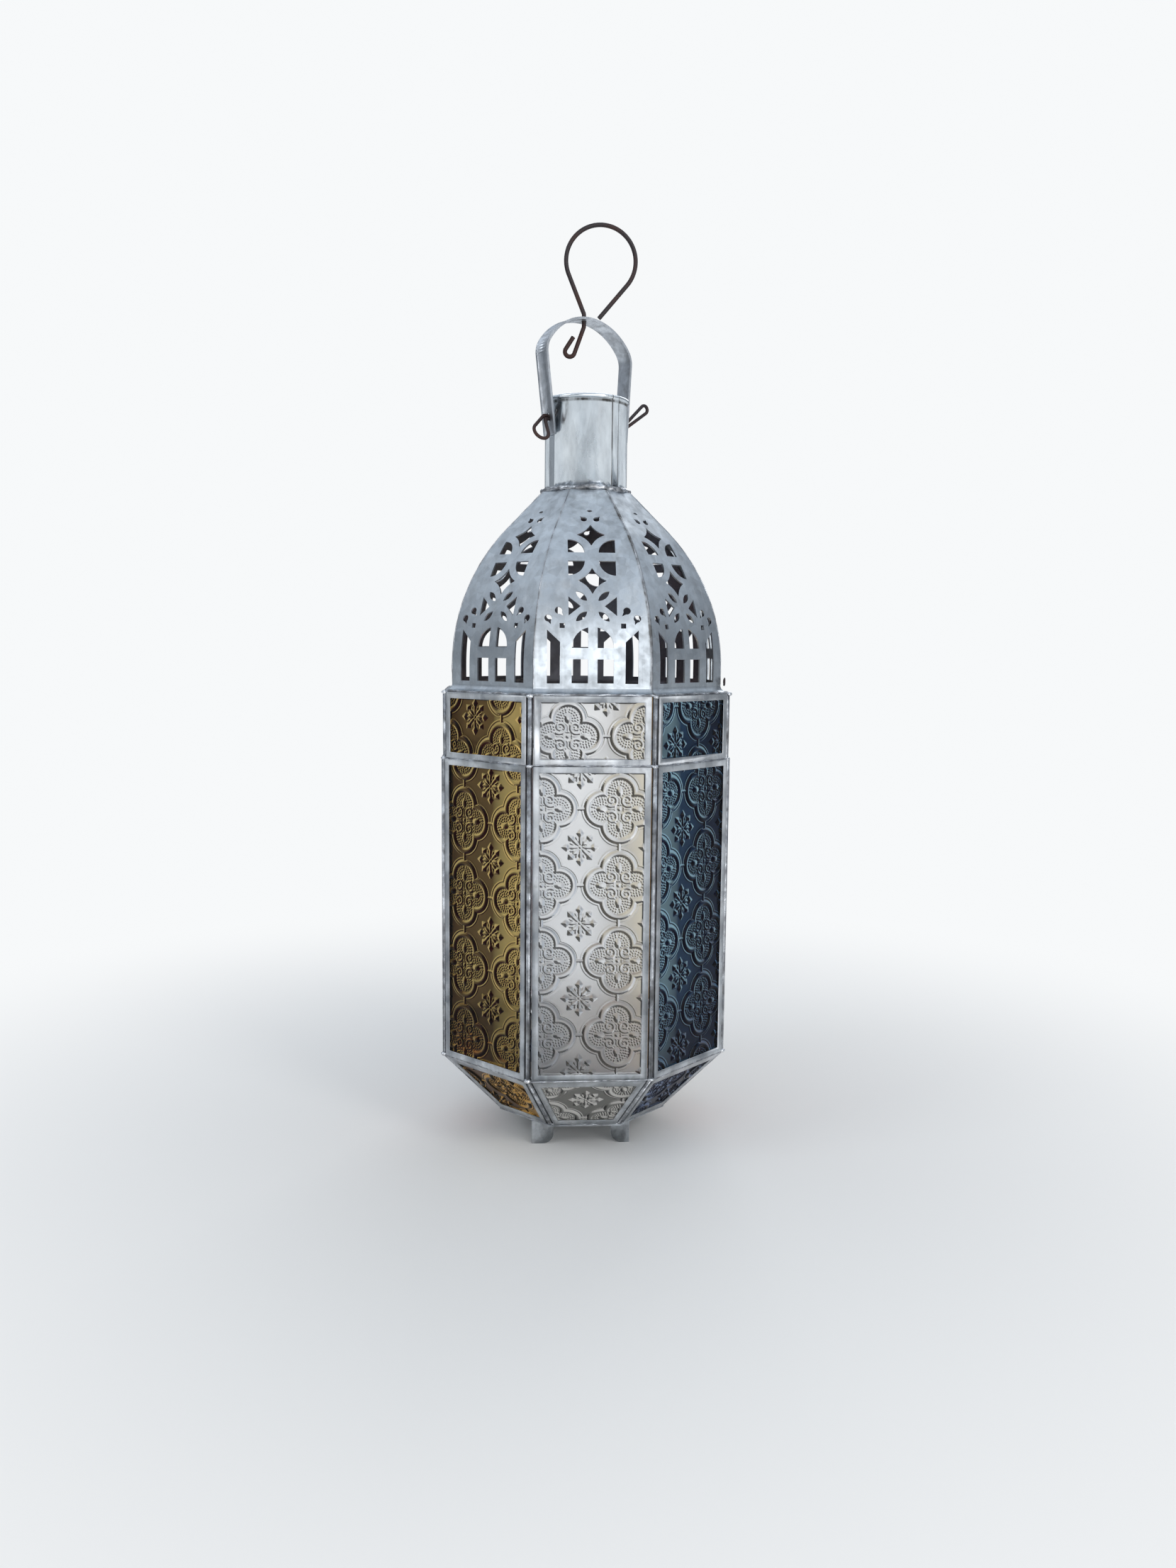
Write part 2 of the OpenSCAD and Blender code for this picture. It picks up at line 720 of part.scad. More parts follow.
module wire_rod(p, a, l, r) {
    gap = bead_gap_share * r;
    translate([p[0] + gap * cos(a), 0, p[1] + gap * sin(a)]) rotate([0, 90 - a, 0])
        cylinder(r = r, h = l - 2 * gap, $fn = 32);
}

module wire_bend(c, radius, a0, sweep, r) {
    translate([c[0], 0, c[1]]) rotate([90, 0, 0]) rotate([0, 0, a0])
        rotate_extrude(angle = sweep, $fn = 120) translate([radius, 0]) circle(r = r, $fn = 32);
}

// Wire that starts at p in the direction a; each move is a length, a bend radius and a turn
module wire_run(p, a, moves, r, k = 0) {
    if (k < len(moves)) {
        m = moves[k];
        s = sign(m[2]);
        q = p + m[0] * [cos(a), sin(a)];
        c = q + s * m[1] * [-sin(a), cos(a)];
        b = a + m[2];
        if (m[0] > 0) wire_rod(p, a, m[0], r);
        if (m[2] != 0) {
            wire_bead(q, r);
            wire_bend(c, m[1], s > 0 ? a - 90 : b + 90, abs(m[2]), r);
            wire_bead(c + s * m[1] * [sin(b), -cos(b)], r);
        }
        wire_run(c + s * m[1] * [sin(b), -cos(b)], b, moves, r, k + 1);
    }
}

// Doubled wire through a leg and the neck, with a teardrop loop outside and spread ends inside
module pin(side) {
    is_left = side == "left";
    loop_r = is_left ? left_loop_r : right_loop_r;
    out = is_left ? left_loop_out : right_loop_out;
    aim = is_left ? -left_loop_drop : 39;
    roll = is_left ? left_loop_roll : 0;
    bend_x = pin_exit + (is_left ? left_loop_clear : 0);
    middle = [bend_x, 0] + out * [cos(aim), sin(aim)];
    start_x = neck_r - neck_t - pin_end / 2;
    color(rust) rotate([0, 0, handle_turn + (is_left ? 180 : 0)]) translate([0, 0, pin_z]) rotate([roll, 0, 0]) {
        for (s = [-1, 1]) {
            bend = [bend_x, s * strand_off];
            away = middle - bend;
            lead = atan2(away[1], away[0]) + s * asin(loop_r / norm(away));
            wire_rod([start_x, s * strand_off], 180 - s * pin_spread, pin_end, pin_wire_r);
            wire_bead([start_x, s * strand_off], pin_wire_r);
            wire_rod([start_x, s * strand_off], 0, bend_x - start_x, pin_wire_r);
            wire_bead(bend, pin_wire_r);
            wire_rod(bend, lead, sqrt(pow(norm(away), 2) - pow(loop_r, 2)), pin_wire_r);
            wire_bead(middle + loop_r * [cos(lead + s * 90), sin(lead + s * 90)], pin_wire_r);
        }
        up = middle - [bend_x, strand_off];
        down = middle - [bend_x, -strand_off];
        a_up = atan2(up[1], up[0]) + asin(loop_r / norm(up)) + 90;
        a_down = atan2(down[1], down[0]) - asin(loop_r / norm(down)) - 90;
        wire_bend(middle, loop_r, a_down, a_up - a_down, pin_wire_r);
    }
}

// One wire: pear loop above the strap, upright through its hole, and a curl below
module hook() {
    stub = 2 * hook_wire_r;
    low_z = arch_z - strap_t - stub;
    up_z = arch_z + stub;
    rise_x = bend_r * (1 - cos(hook_lean));
    left_run = (hook_loop_r * cos(hook_lean) - hook_side - rise_x) / sin(hook_lean);
    loop_z = up_z + bend_r * sin(hook_lean) + left_run * cos(hook_lean) + hook_loop_r * sin(hook_lean);
    tip_z = arch_z + hook_wire_r * sin(hook_back_lean) + hem_t / 2;
    back_run = (loop_z - hook_loop_r * sin(hook_back_lean) - tip_z) / cos(hook_back_lean);
    color(rust) translate(-handle_lean * [cos(handle_turn), sin(handle_turn), 0]) {
        wire_run([0, low_z], 90, [
            [up_z - low_z, bend_r, hook_lean],
            [left_run, hook_loop_r, -(180 + hook_lean + hook_back_lean)],
            [back_run, 0, 0]], hook_wire_r);
        wire_bead([0, low_z], hook_wire_r);
        wire_run([0, low_z], 270, [
            [0, bend_r, -curl_lean],
            [curl_drop - stub, curl_r, -curl_turn],
            [curl_end, 0, 0]], hook_wire_r);
    }
}

// Small twist of wire on the dome's edge, just above its foot
module wire_tie() {
    edge_r = dome_apothem / cos(half) + tie_wire_r + neck_play;
    color(rust) rotate([0, 0, 1.5 * step]) translate([0, -edge_r - tie_r, dome_z0 + tie_rise]) rotate([0, 0, 90])
        wire_bend([0, 0], tie_r, 0, 360, tie_wire_r);
}

for (i = [0:sides - 1]) {
    dome_panel(i);
    band_glass(i);
    main_frame(i);
    main_glass(i);
    taper_glass(i);
}
band_frames();
taper_frames();
seam_strips();
taper_seams();
base_plate();
candle_cup();
for (k = [1:4]) foot(k);
neck_tube();
neck_collar();
handle();
for (s = pin_sides) pin(s);
hook();
door_hinge_wire();
door_pull();
wire_tie();
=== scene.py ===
import math

import bmesh
import bpy
import numpy as np
from mathutils import Matrix, Vector


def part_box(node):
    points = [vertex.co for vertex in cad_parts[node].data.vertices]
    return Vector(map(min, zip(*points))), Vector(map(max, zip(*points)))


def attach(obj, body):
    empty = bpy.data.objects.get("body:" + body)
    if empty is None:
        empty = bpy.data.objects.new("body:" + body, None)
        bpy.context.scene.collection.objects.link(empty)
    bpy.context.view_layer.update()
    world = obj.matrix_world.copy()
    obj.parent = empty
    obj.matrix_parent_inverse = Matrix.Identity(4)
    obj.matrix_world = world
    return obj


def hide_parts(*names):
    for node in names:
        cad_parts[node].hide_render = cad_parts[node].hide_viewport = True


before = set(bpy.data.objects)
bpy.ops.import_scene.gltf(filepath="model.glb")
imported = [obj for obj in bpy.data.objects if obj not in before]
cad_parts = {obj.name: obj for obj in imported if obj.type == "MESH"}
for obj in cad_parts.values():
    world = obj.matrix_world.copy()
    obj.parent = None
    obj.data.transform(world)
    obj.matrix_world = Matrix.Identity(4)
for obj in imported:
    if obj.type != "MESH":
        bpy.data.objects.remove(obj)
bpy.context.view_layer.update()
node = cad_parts
MM = 0.001

# Studio. A pale floor that melts into a white background, one wide soft light behind the
# camera, a lamp high on the right, a weaker one on the left and one behind the lantern.
FLOOR_RADIUS, FLOOR_SIDES = 4.0, 128
FLOOR_COLOUR = (0.80, 0.79, 0.77, 1.0)
FADE_START, FADE_END = 0.13, 0.55
BACKGROUND = (0.93, 0.945, 0.955, 1.0)
ROOM_COLOUR = (0.84, 0.91, 1.0, 1.0)
ROOM_LOW, ROOM_HIGH, ROOM_TOP = 0.26, 0.85, 0.85
# what shows through the glass is a wall, dark to the right and bright to the left of two headings
DARK_HEADING, BRIGHT_HEADING, WALL_DARK, WALL_BRIGHT = 0.56, 0.21, 0.13, 1.35
CAMERA_PLACE = Vector((-39.8, -645.6, 256.4)) * MM
CAMERA_YAW, CAMERA_PITCH, CAMERA_ROLL = -3.765, -6.551, -0.553
CAMERA_LENS, CAMERA_SENSOR = 28.35, 36.0
CAMERA_NEAR, CAMERA_FAR = 0.01, 20.0
LAMPS = (
    # name, place, aim, width, height, watts, colour
    ("window", (0.75, -2.4, 0.62), (0.0, 0.0, 0.27), 3.4, 1.3, 26.0, (1.0, 0.99, 0.98)),
    ("key_lamp", (1.45, -1.75, 1.75), (0.0, 0.0, 0.2), 0.7, 0.7, 9.0, (1.0, 0.98, 0.95)),
    ("left_lamp", (-1.5, -0.7, 1.3), (0.0, 0.0, 0.2), 0.7, 0.9, 4.5, (0.95, 0.98, 1.0)),
    ("back_lamp", (0.5, 1.8, 1.4), (0.0, 0.0, 0.2), 1.2, 1.0, 10.0, (1.0, 1.0, 1.0)),
)


def put(tree, kind, inputs=None, **settings):
    """Adds a node with its settings, and links or sets its inputs."""
    if not kind.startswith(("Geometry", "Function")):
        kind = "ShaderNode" + kind
    made = tree.nodes.new(kind)
    for key, value in settings.items():
        setattr(made, key, value)
    for key, value in (inputs or {}).items():
        if isinstance(value, bpy.types.NodeSocket):
            tree.links.new(value, made.inputs[key])
        else:
            made.inputs[key].default_value = value
    return made


def maths(tree, operation, a, b=0.0, clamp=False):
    return put(tree, "Math", {0: a, 1: b}, operation=operation, use_clamp=clamp).outputs[0]


def ramp(tree, value, low, high, start=0.0, end=1.0, soft=False):
    """Goes from start to end while the value goes from low to high."""
    inputs = {0: value, 1: low, 2: high, 3: start, 4: end}
    kind = "SMOOTHSTEP" if soft else "LINEAR"
    return put(tree, "MapRange", inputs, interpolation_type=kind).outputs[0]


def empty_material(name):
    material = bpy.data.materials.new(name)
    material.use_nodes = True
    material.node_tree.nodes.clear()
    return material, material.node_tree


bpy.ops.mesh.primitive_circle_add(vertices=FLOOR_SIDES, radius=FLOOR_RADIUS, fill_type="NGON")
floor = bpy.context.object
floor.name = "floor"
material, tree = empty_material("pale_floor")
place = put(tree, "TexCoord").outputs["Object"]
spread = put(tree, "VectorMath", {0: place}, operation="LENGTH").outputs["Value"]
fade = ramp(tree, spread, FADE_START, FADE_END, soft=True)
fade = maths(tree, "MULTIPLY", fade, put(tree, "LightPath").outputs["Is Camera Ray"])
paint = put(tree, "BsdfDiffuse", {"Color": FLOOR_COLOUR}).outputs[0]
glow = put(tree, "Emission", {"Color": BACKGROUND, "Strength": 1.0}).outputs[0]
mixed = put(tree, "MixShader", {0: fade, 1: paint, 2: glow}).outputs[0]
put(tree, "OutputMaterial", {"Surface": mixed})
floor.data.materials.append(material)

world = bpy.data.worlds.new("room")
bpy.context.scene.world = world
world.use_nodes = True
tree = world.node_tree
tree.nodes.clear()
path = put(tree, "LightPath").outputs
heading = put(tree, "SeparateXYZ", {0: put(tree, "TexCoord").outputs["Generated"]}).outputs
above = ramp(tree, heading[2], 0.0, ROOM_TOP, ROOM_LOW, ROOM_HIGH, soft=True)
turn = maths(tree, "ARCTAN2", heading[0], heading[1])
behind = ramp(tree, turn, DARK_HEADING, BRIGHT_HEADING, WALL_DARK, WALL_BRIGHT, soft=True)
through = maths(tree, "SUBTRACT", path["Is Transmission Ray"], path["Is Camera Ray"], True)
room = put(tree, "Background", {"Color": ROOM_COLOUR, "Strength": above}).outputs[0]
wall = put(tree, "Background", {"Color": BACKGROUND, "Strength": behind}).outputs[0]
white = put(tree, "Background", {"Color": BACKGROUND, "Strength": 1.0}).outputs[0]
mixed = put(tree, "MixShader", {0: through, 1: room, 2: wall}).outputs[0]
mixed = put(tree, "MixShader", {0: path["Is Camera Ray"], 1: mixed, 2: white}).outputs[0]
put(tree, "OutputWorld", {"Surface": mixed})

for name, place, aim, width, height, watts, colour in LAMPS:
    lamp = bpy.data.lights.new(name, "AREA")
    lamp.shape, lamp.size, lamp.size_y = "RECTANGLE", width, height
    lamp.energy, lamp.color = watts, colour
    holder = bpy.data.objects.new(name, lamp)
    bpy.context.scene.collection.objects.link(holder)
    holder.location = place
    holder.rotation_euler = (Vector(aim) - Vector(place)).to_track_quat("-Z", "Y").to_euler()

camera_data = bpy.data.cameras.new("camera")
camera_data.lens, camera_data.sensor_width = CAMERA_LENS, CAMERA_SENSOR
camera_data.clip_start, camera_data.clip_end = CAMERA_NEAR, CAMERA_FAR
camera = bpy.data.objects.new("camera", camera_data)
bpy.context.scene.collection.objects.link(camera)
turn = (
    Matrix.Rotation(math.radians(CAMERA_YAW), 3, "Z")
    @ Matrix.Rotation(math.radians(CAMERA_PITCH), 3, "X")
    @ Matrix.Rotation(math.radians(CAMERA_ROLL), 3, "Y")
    @ Matrix.Rotation(math.radians(90), 3, "X")
)
camera.matrix_world = Matrix.LocRotScale(CAMERA_PLACE, turn.to_quaternion(), None)
bpy.context.scene.camera = camera
bpy.context.scene.view_settings.view_transform = "Standard"

# Tinned sheet. Every metal piece of the lantern is cut from one dull zinc-grey sheet: large
# soft clouds, a faint crystal spangle, fine scratches, dark grime and small pits. Its corners
# hold dirt along the solder, and the inner side of the upper pieces is darkened as painted shade.
BLACK = (0.0, 0.0, 0.0, 1.0)
SHEET_INPUTS = {
    "Place": None, "Clean": (0.62, 0.66, 0.70, 1.0), "Dull": (0.38, 0.41, 0.44, 1.0),
    "Grime": (0.10, 0.095, 0.09, 1.0), "Cloud scale": 34.0, "Grime amount": 0.3, "Seam": 0.0,
    "Sheen": 0.36, "Waves": 0.25,
}
LOOK_OUTPUTS = {"Colour": BLACK, "Roughness": 0.5, "Height": 0.0}
BLOTCHES, SCRATCHES, PITS, SPANGLE, SWELLS, GRAINS = 190.0, 260.0, 1100.0, 230.0, 48.0, 420.0
SCRATCH_COLOUR, SCRATCH_SHARE = (0.86, 0.89, 0.92, 1.0), 0.22
SPANGLE_DARK, SPANGLE_LIGHT = 0.9, 1.1
SWELL_HEIGHT, GRAIN_HEIGHT, PIT_HEIGHT = 0.001, 0.00004, -0.00003
# painted shade on the inner side: its colour, and where it starts and is full as the surface turns
# to the axis
INNER_SHADE_COLOUR = (0.085, 0.082, 0.096, 1.0)
INNER_SHADE_START, INNER_SHADE_FULL = -0.2, -0.4
# the corners are half a side's turn from the faces; the front right one is the darkest, up to
# these turns away from it, and its extra darkness is painted shade of a seam that stands open
HALF_SIDE, FRONT_RIGHT = math.radians(22.5), math.radians(-67.5)
DARKEST_TO, LESS_DARK_FROM = 0.25, 0.35
MERGE_GAP, FLAT_FOLD = 1e-6, math.radians(0.4)


def blend(tree, factor, a, b, kind="MIX"):
    made = put(tree, "Mix", data_type="RGBA", blend_type=kind)
    for index, value in ((0, factor), (6, a), (7, b)):
        if isinstance(value, bpy.types.NodeSocket):
            tree.links.new(value, made.inputs[index])
        else:
            made.inputs[index].default_value = value
    return made.outputs[2]


def vectors(tree, operation, a, b=(0.0, 0.0, 0.0)):
    return put(tree, "VectorMath", {0: a, 1: b}, operation=operation).outputs


def sockets(tree, side, values):
    """Gives a tree inputs or outputs, of the kind that fits each value; None is a vector."""
    kinds = {int: "Int", float: "Float", tuple: "Color", type(None): "Vector"}
    for label, value in values.items():
        kind = "NodeSocket" + kinds[type(value)]
        socket = tree.interface.new_socket(label, in_out=side, socket_type=kind)
        if value is not None:
            socket.default_value = value


def effect(name, inputs, outputs):
    """A new shader group: its tree, its input sockets and a function that links its outputs."""
    tree = bpy.data.node_groups.new(name, "ShaderNodeTree")
    sockets(tree, "INPUT", inputs)
    sockets(tree, "OUTPUT", outputs)
    start, end = tree.nodes.new("NodeGroupInput"), tree.nodes.new("NodeGroupOutput")

    def give(label, socket):
        tree.links.new(socket, end.inputs[label])

    return tree, start.outputs, give


def cloud(tree, place, scale, detail=3.0, low=0.0, high=1.0, stretch=None):
    """Soft noise that is 0 below low and 1 above high."""
    if stretch:
        place = put(tree, "Mapping", {"Vector": place, "Scale": stretch}).outputs[0]
    noise = put(tree, "TexNoise", {"Vector": place, "Scale": scale, "Detail": detail,
                                   "Roughness": 0.55})
    return ramp(tree, noise.outputs[0], low, high)


sheet_effect, given, give = effect("tinned_sheet", SHEET_INPUTS, LOOK_OUTPUTS)
tree = sheet_effect
place = given["Place"]
clouds = cloud(tree, place, given["Cloud scale"], detail=4.0, low=0.35, high=0.65)
blotch = cloud(tree, place, BLOTCHES, low=0.42, high=0.68)
scratch = cloud(tree, place, SCRATCHES, 2.0, low=0.52, high=0.75, stretch=(1.0, 1.0, 0.07))
pits = cloud(tree, place, PITS, 2.0, low=0.60, high=0.78)
spangle = put(tree, "TexVoronoi", {"Vector": place, "Scale": SPANGLE})
spangle = put(tree, "SeparateColor", {0: spangle.outputs["Color"]}).outputs[0]
spangle = ramp(tree, spangle, 0.0, 1.0, SPANGLE_DARK, SPANGLE_LIGHT)
spangle = put(tree, "CombineColor", {0: spangle, 1: spangle, 2: spangle}).outputs[0]
colour = blend(tree, clouds, given["Dull"], given["Clean"])
colour = blend(tree, 1.0, colour, spangle, "MULTIPLY")
grime = maths(tree, "MULTIPLY", blotch, given["Grime amount"])
# darkening along a piece's seams: dirt at the joints, and painted shade where its seam mask adds it
seam_grime = maths(tree, "MULTIPLY", given["Seam"], maths(tree, "ADD", 0.45, blotch), True)
grime = maths(tree, "MAXIMUM", grime, seam_grime)
colour = blend(tree, grime, colour, given["Grime"])
colour = blend(tree, maths(tree, "MULTIPLY", scratch, SCRATCH_SHARE), colour, SCRATCH_COLOUR)
give("Colour", colour)
rough = maths(tree, "ADD", given["Sheen"], maths(tree, "MULTIPLY", clouds, -0.08))
rough = maths(tree, "ADD", rough, maths(tree, "MULTIPLY", blotch, 0.10))
give("Roughness", maths(tree, "ADD", rough, maths(tree, "MULTIPLY", grime, 0.22), True))
swell = maths(tree, "MULTIPLY", given["Waves"], SWELL_HEIGHT)
height = maths(tree, "MULTIPLY", cloud(tree, place, SWELLS, 1.0), swell)
grain = maths(tree, "MULTIPLY", cloud(tree, place, GRAINS), GRAIN_HEIGHT)
height = maths(tree, "ADD", height, grain)
give("Height", maths(tree, "ADD", height, maths(tree, "MULTIPLY", pits, PIT_HEIGHT)))

corner_effect, given, give = effect(
    "corner_dirt", {"Place": None, "Width": 0.002, "Others": 1.0}, {"Dirt": 0.0})
tree = corner_effect
axis = put(tree, "SeparateXYZ", {0: given["Place"]}).outputs
turn = maths(tree, "ARCTAN2", axis[1], axis[0])
away = maths(tree, "ABSOLUTE", maths(tree, "SUBTRACT", turn, FRONT_RIGHT))
share = ramp(tree, away, DARKEST_TO, LESS_DARK_FROM, 1.0, given["Others"])
turn = maths(tree, "PINGPONG", maths(tree, "ADD", turn, HALF_SIDE), HALF_SIDE)
level = put(tree, "CombineXYZ", {0: axis[0], 1: axis[1]}).outputs[0]
gap = maths(tree, "MULTIPLY", turn, vectors(tree, "LENGTH", level)["Value"])
line = ramp(tree, gap, given["Width"], 0.0, soft=True)
give("Dirt", maths(tree, "MULTIPLY", line, share))

# painted shade: the side of a piece that faces the axis is darkened
inner_shade_effect, given, give = effect(
    "painted_inner_shade", {"Place": None, "Normal": None, "Colour": BLACK, "Inner shade": 0.5},
    {"Colour": BLACK})
tree = inner_shade_effect
level = vectors(tree, "MULTIPLY", given["Place"], (1.0, 1.0, 0.0))[0]
level = vectors(tree, "NORMALIZE", level)[0]
outward = vectors(tree, "DOT_PRODUCT", level, given["Normal"])["Value"]
shaded_inside = ramp(tree, outward, INNER_SHADE_START, INNER_SHADE_FULL, 0.0, given["Inner shade"])
give("Colour", blend(tree, shaded_inside, given["Colour"], INNER_SHADE_COLOUR))


def tin(name, seam=None, stretch=1.0, inner_shade=0.0, **values):
    """A metal material of the tinned sheet, in its own colours, with its seams and its painted
    shade inside.
    """
    material, tree = empty_material(name)
    spot = place = put(tree, "TexCoord").outputs["Object"]
    if stretch != 1.0:
        spot = put(tree, "Mapping", {"Vector": place, "Scale": (1.0, 1.0, stretch)}).outputs[0]
    inputs = {key.replace("_", " ").capitalize(): value for key, value in values.items()}
    if seam:
        inputs["Seam"] = seam(tree, place)
    sheet = put(tree, "Group", {"Place": spot, **inputs}, node_tree=sheet_effect).outputs
    colour = sheet["Colour"]
    if inner_shade:
        normal = put(tree, "NewGeometry").outputs["True Normal"]
        colour = put(tree, "Group", {"Place": place, "Normal": normal, "Colour": colour,
                                     "Inner shade": inner_shade}, node_tree=inner_shade_effect).outputs[0]
    bump = put(tree, "Bump", {"Height": sheet["Height"], "Distance": 1.0, "Strength": 1.0})
    metal = put(tree, "BsdfPrincipled", {
        "Base Color": colour, "Roughness": sheet["Roughness"],
        "Metallic": 1.0, "Normal": bump.outputs[0]})
    put(tree, "OutputMaterial", {"Surface": metal.outputs[0]})
    return material


def corner_dirt(width, others=1.0):
    """Dirt along the eight corners, width metres to each side, with less on all but one, whose
    extra darkness is painted shade.
    """
    def seam(tree, place):
        inputs = {"Place": place, "Width": width, "Others": others}
        return put(tree, "Group", inputs, node_tree=corner_effect).outputs[0]
    return seam


def worked(name, source, material, body="lantern", bevel=0.0, smooth=35.0):
    """A merged copy of a CAD node that stands for it, its folds rounded by a bevel in mm."""
    mesh = node[source].data.copy()
    mesh.name = name
    shape = bmesh.new()
    shape.from_mesh(mesh)
    bmesh.ops.remove_doubles(shape, verts=shape.verts, dist=MERGE_GAP)
    if bevel:
        bmesh.ops.dissolve_limit(shape, angle_limit=FLAT_FOLD, verts=shape.verts,
                                 edges=shape.edges)
        sharp = [e for e in shape.edges
                 if e.is_manifold and e.calc_face_angle(0.0) > math.radians(smooth)]
        bmesh.ops.bevel(shape, geom=sharp, offset=bevel * MM, segments=2, affect="EDGES",
                        clamp_overlap=False)
    shape.to_mesh(mesh)
    shape.free()
    piece = bpy.data.objects.new(name, mesh)
    bpy.context.scene.collection.objects.link(piece)
    mesh.materials.clear()
    mesh.materials.append(material)
    mesh.shade_smooth()
    mesh.set_sharp_from_angle(angle=math.radians(smooth))
    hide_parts(source)
    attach(piece, body)
    return piece


# Frames of the tiers. Each pane sits in a channel folded from thin tin, soldered to its
# neighbours at the corners: the folds are soft, and the joints hold grime and old flux.
DOOR = 4  # the door is the pane and frame of this side, counted from the front
FOLD_ROUND = 0.22
frame_tin = tin("frame_tin", corner_dirt(0.0035), clean=(0.68, 0.71, 0.74, 1),
                dull=(0.28, 0.30, 0.325, 1), cloud_scale=95.0, grime_amount=0.42,
                sheen=0.40, waves=0.12)
for i in range(8):
    name = "door_frame" if i == DOOR else f"main_frame_{i + 1}"
    worked(f"folded_{name}", name, frame_tin, body="door" if i == DOOR else "lantern",
           bevel=FOLD_ROUND)
for name in ("band_frames", "taper_frames"):
    worked(f"folded_{name}", name, frame_tin, bevel=FOLD_ROUND)

# Solder. Soft lead-grey strips fill the corners between the frames, lumpy runs close the
# joints of the tiers, and solder blobs sit at the corners, their near-white colour partly a painted
# highlight.
RUNS = (
    # height, distance of the faces from the axis, radius of the run, its lumps
    (46.3, 72.1, 0.45, 1.44),
    (198.75, 71.95, 0.40, 1.28),
    (231.8, 70.6, 0.60, 1.68),
    (13.2, 43.2, 0.36, 1.20),
)
RUN_STEPS, RUN_DRIFT = 60, 0.5
BLOB_RINGS = (
    # height, distance of the faces from the axis, how far the blobs sit inside them
    (46.6, 72.5, 1.0), (198.4, 71.8, 0.7), (231.2, 71.8, 0.8), (14.0, 43.3, 0.4),
)
# the door has to swing clear, so its own corners, between these turns and heights, are bare
BARE_TURN, BARE_HEIGHT = (math.radians(60), math.radians(120)), (40, 200)
BLOB_SMALLEST, BLOB_SEED = 0.55, 11
LUMP_INPUTS = {"Lumps": 0.0, "Lump scale": 400.0, "Seed": 3.0}
solder = tin("solder", clean=(0.62, 0.645, 0.68, 1), dull=(0.21, 0.22, 0.245, 1),
             cloud_scale=160.0, grime_amount=0.70, sheen=0.30, waves=0.5)
# bright solder for the corner blobs, its near-white colour partly a painted highlight
highlit_solder = tin("highlit_solder", clean=(0.92, 0.93, 0.95, 1), dull=(0.50, 0.52, 0.55, 1),
                   cloud_scale=260.0, grime_amount=0.30, sheen=0.24, waves=0.6)
for name in ("seam_strips", "taper_seams"):
    worked(f"soldered_{name}", name, solder)


def geometry_tree(name, inputs):
    """A Geometry Nodes tree with named inputs, its input sockets and its output sockets."""
    tree = bpy.data.node_groups.new(name, "GeometryNodeTree")
    for side in ("INPUT", "OUTPUT"):
        tree.interface.new_socket("Geometry", in_out=side, socket_type="NodeSocketGeometry")
    sockets(tree, "INPUT", inputs)
    start, end = tree.nodes.new("NodeGroupInput"), tree.nodes.new("NodeGroupOutput")
    return tree, start.outputs, end.inputs


def lumpy(tree, geometry, given):
    """Moves a surface along its normals by noise, as metal that has run and set."""
    noise = put(tree, "TexNoise", {"W": given["Seed"], "Scale": given["Lump scale"],
                                   "Detail": 3.0}, noise_dimensions="4D").outputs[0]
    push = maths(tree, "MULTIPLY", maths(tree, "ADD", noise, -0.5), given["Lumps"])
    normal = put(tree, "GeometryNodeInputNormal").outputs[0]
    offset = put(tree, "VectorMath", {0: normal, 3: push}, operation="SCALE").outputs[0]
    return put(tree, "GeometryNodeSetPosition", {"Geometry": geometry, "Offset": offset}).outputs[0]


def closing(tree, geometry, end):
    geometry = put(tree, "GeometryNodeRealizeInstances", {"Geometry": geometry}).outputs[0]
    geometry = put(tree, "GeometryNodeSetShadeSmooth", {"Geometry": geometry}).outputs[0]
    geometry = put(tree, "GeometryNodeSetMaterial", {"Geometry": geometry}, name="material")
    tree.links.new(geometry.outputs[0], end["Geometry"])


run_tree, given, end = geometry_tree("drawn_run", {"Radius": 0.001, "Sides": 12, **LUMP_INPUTS})
curve = put(run_tree, "GeometryNodeMeshToCurve", {"Mesh": given["Geometry"]}).outputs[0]
ring = put(run_tree, "GeometryNodeCurvePrimitiveCircle",
           {"Resolution": given["Sides"], "Radius": given["Radius"]}).outputs[0]
swept = put(run_tree, "GeometryNodeCurveToMesh",
            {"Curve": curve, "Profile Curve": ring, "Fill Caps": True}).outputs[0]
closing(run_tree, lumpy(run_tree, swept, given), end)

blob_tree, given, end = geometry_tree(
    "solder_blobs", {"Radius": 0.0012, "Flatness": 0.6, **LUMP_INPUTS})
blob = put(blob_tree, "GeometryNodeMeshIcoSphere",
           {"Radius": given["Radius"], "Subdivisions": 4}).outputs[0]
size = put(blob_tree, "FunctionNodeRandomValue", {2: BLOB_SMALLEST, 3: 1.0, "Seed": BLOB_SEED},
           data_type="FLOAT").outputs[1]
flat = maths(blob_tree, "MULTIPLY", size, given["Flatness"])
size = put(blob_tree, "CombineXYZ", {0: size, 1: size, 2: flat}).outputs[0]
blobs = put(blob_tree, "GeometryNodeInstanceOnPoints",
            {"Points": given["Geometry"], "Instance": blob, "Scale": size}).outputs[0]
blobs = put(blob_tree, "GeometryNodeRealizeInstances", {"Geometry": blobs}).outputs[0]
closing(blob_tree, lumpy(blob_tree, blobs, given), end)


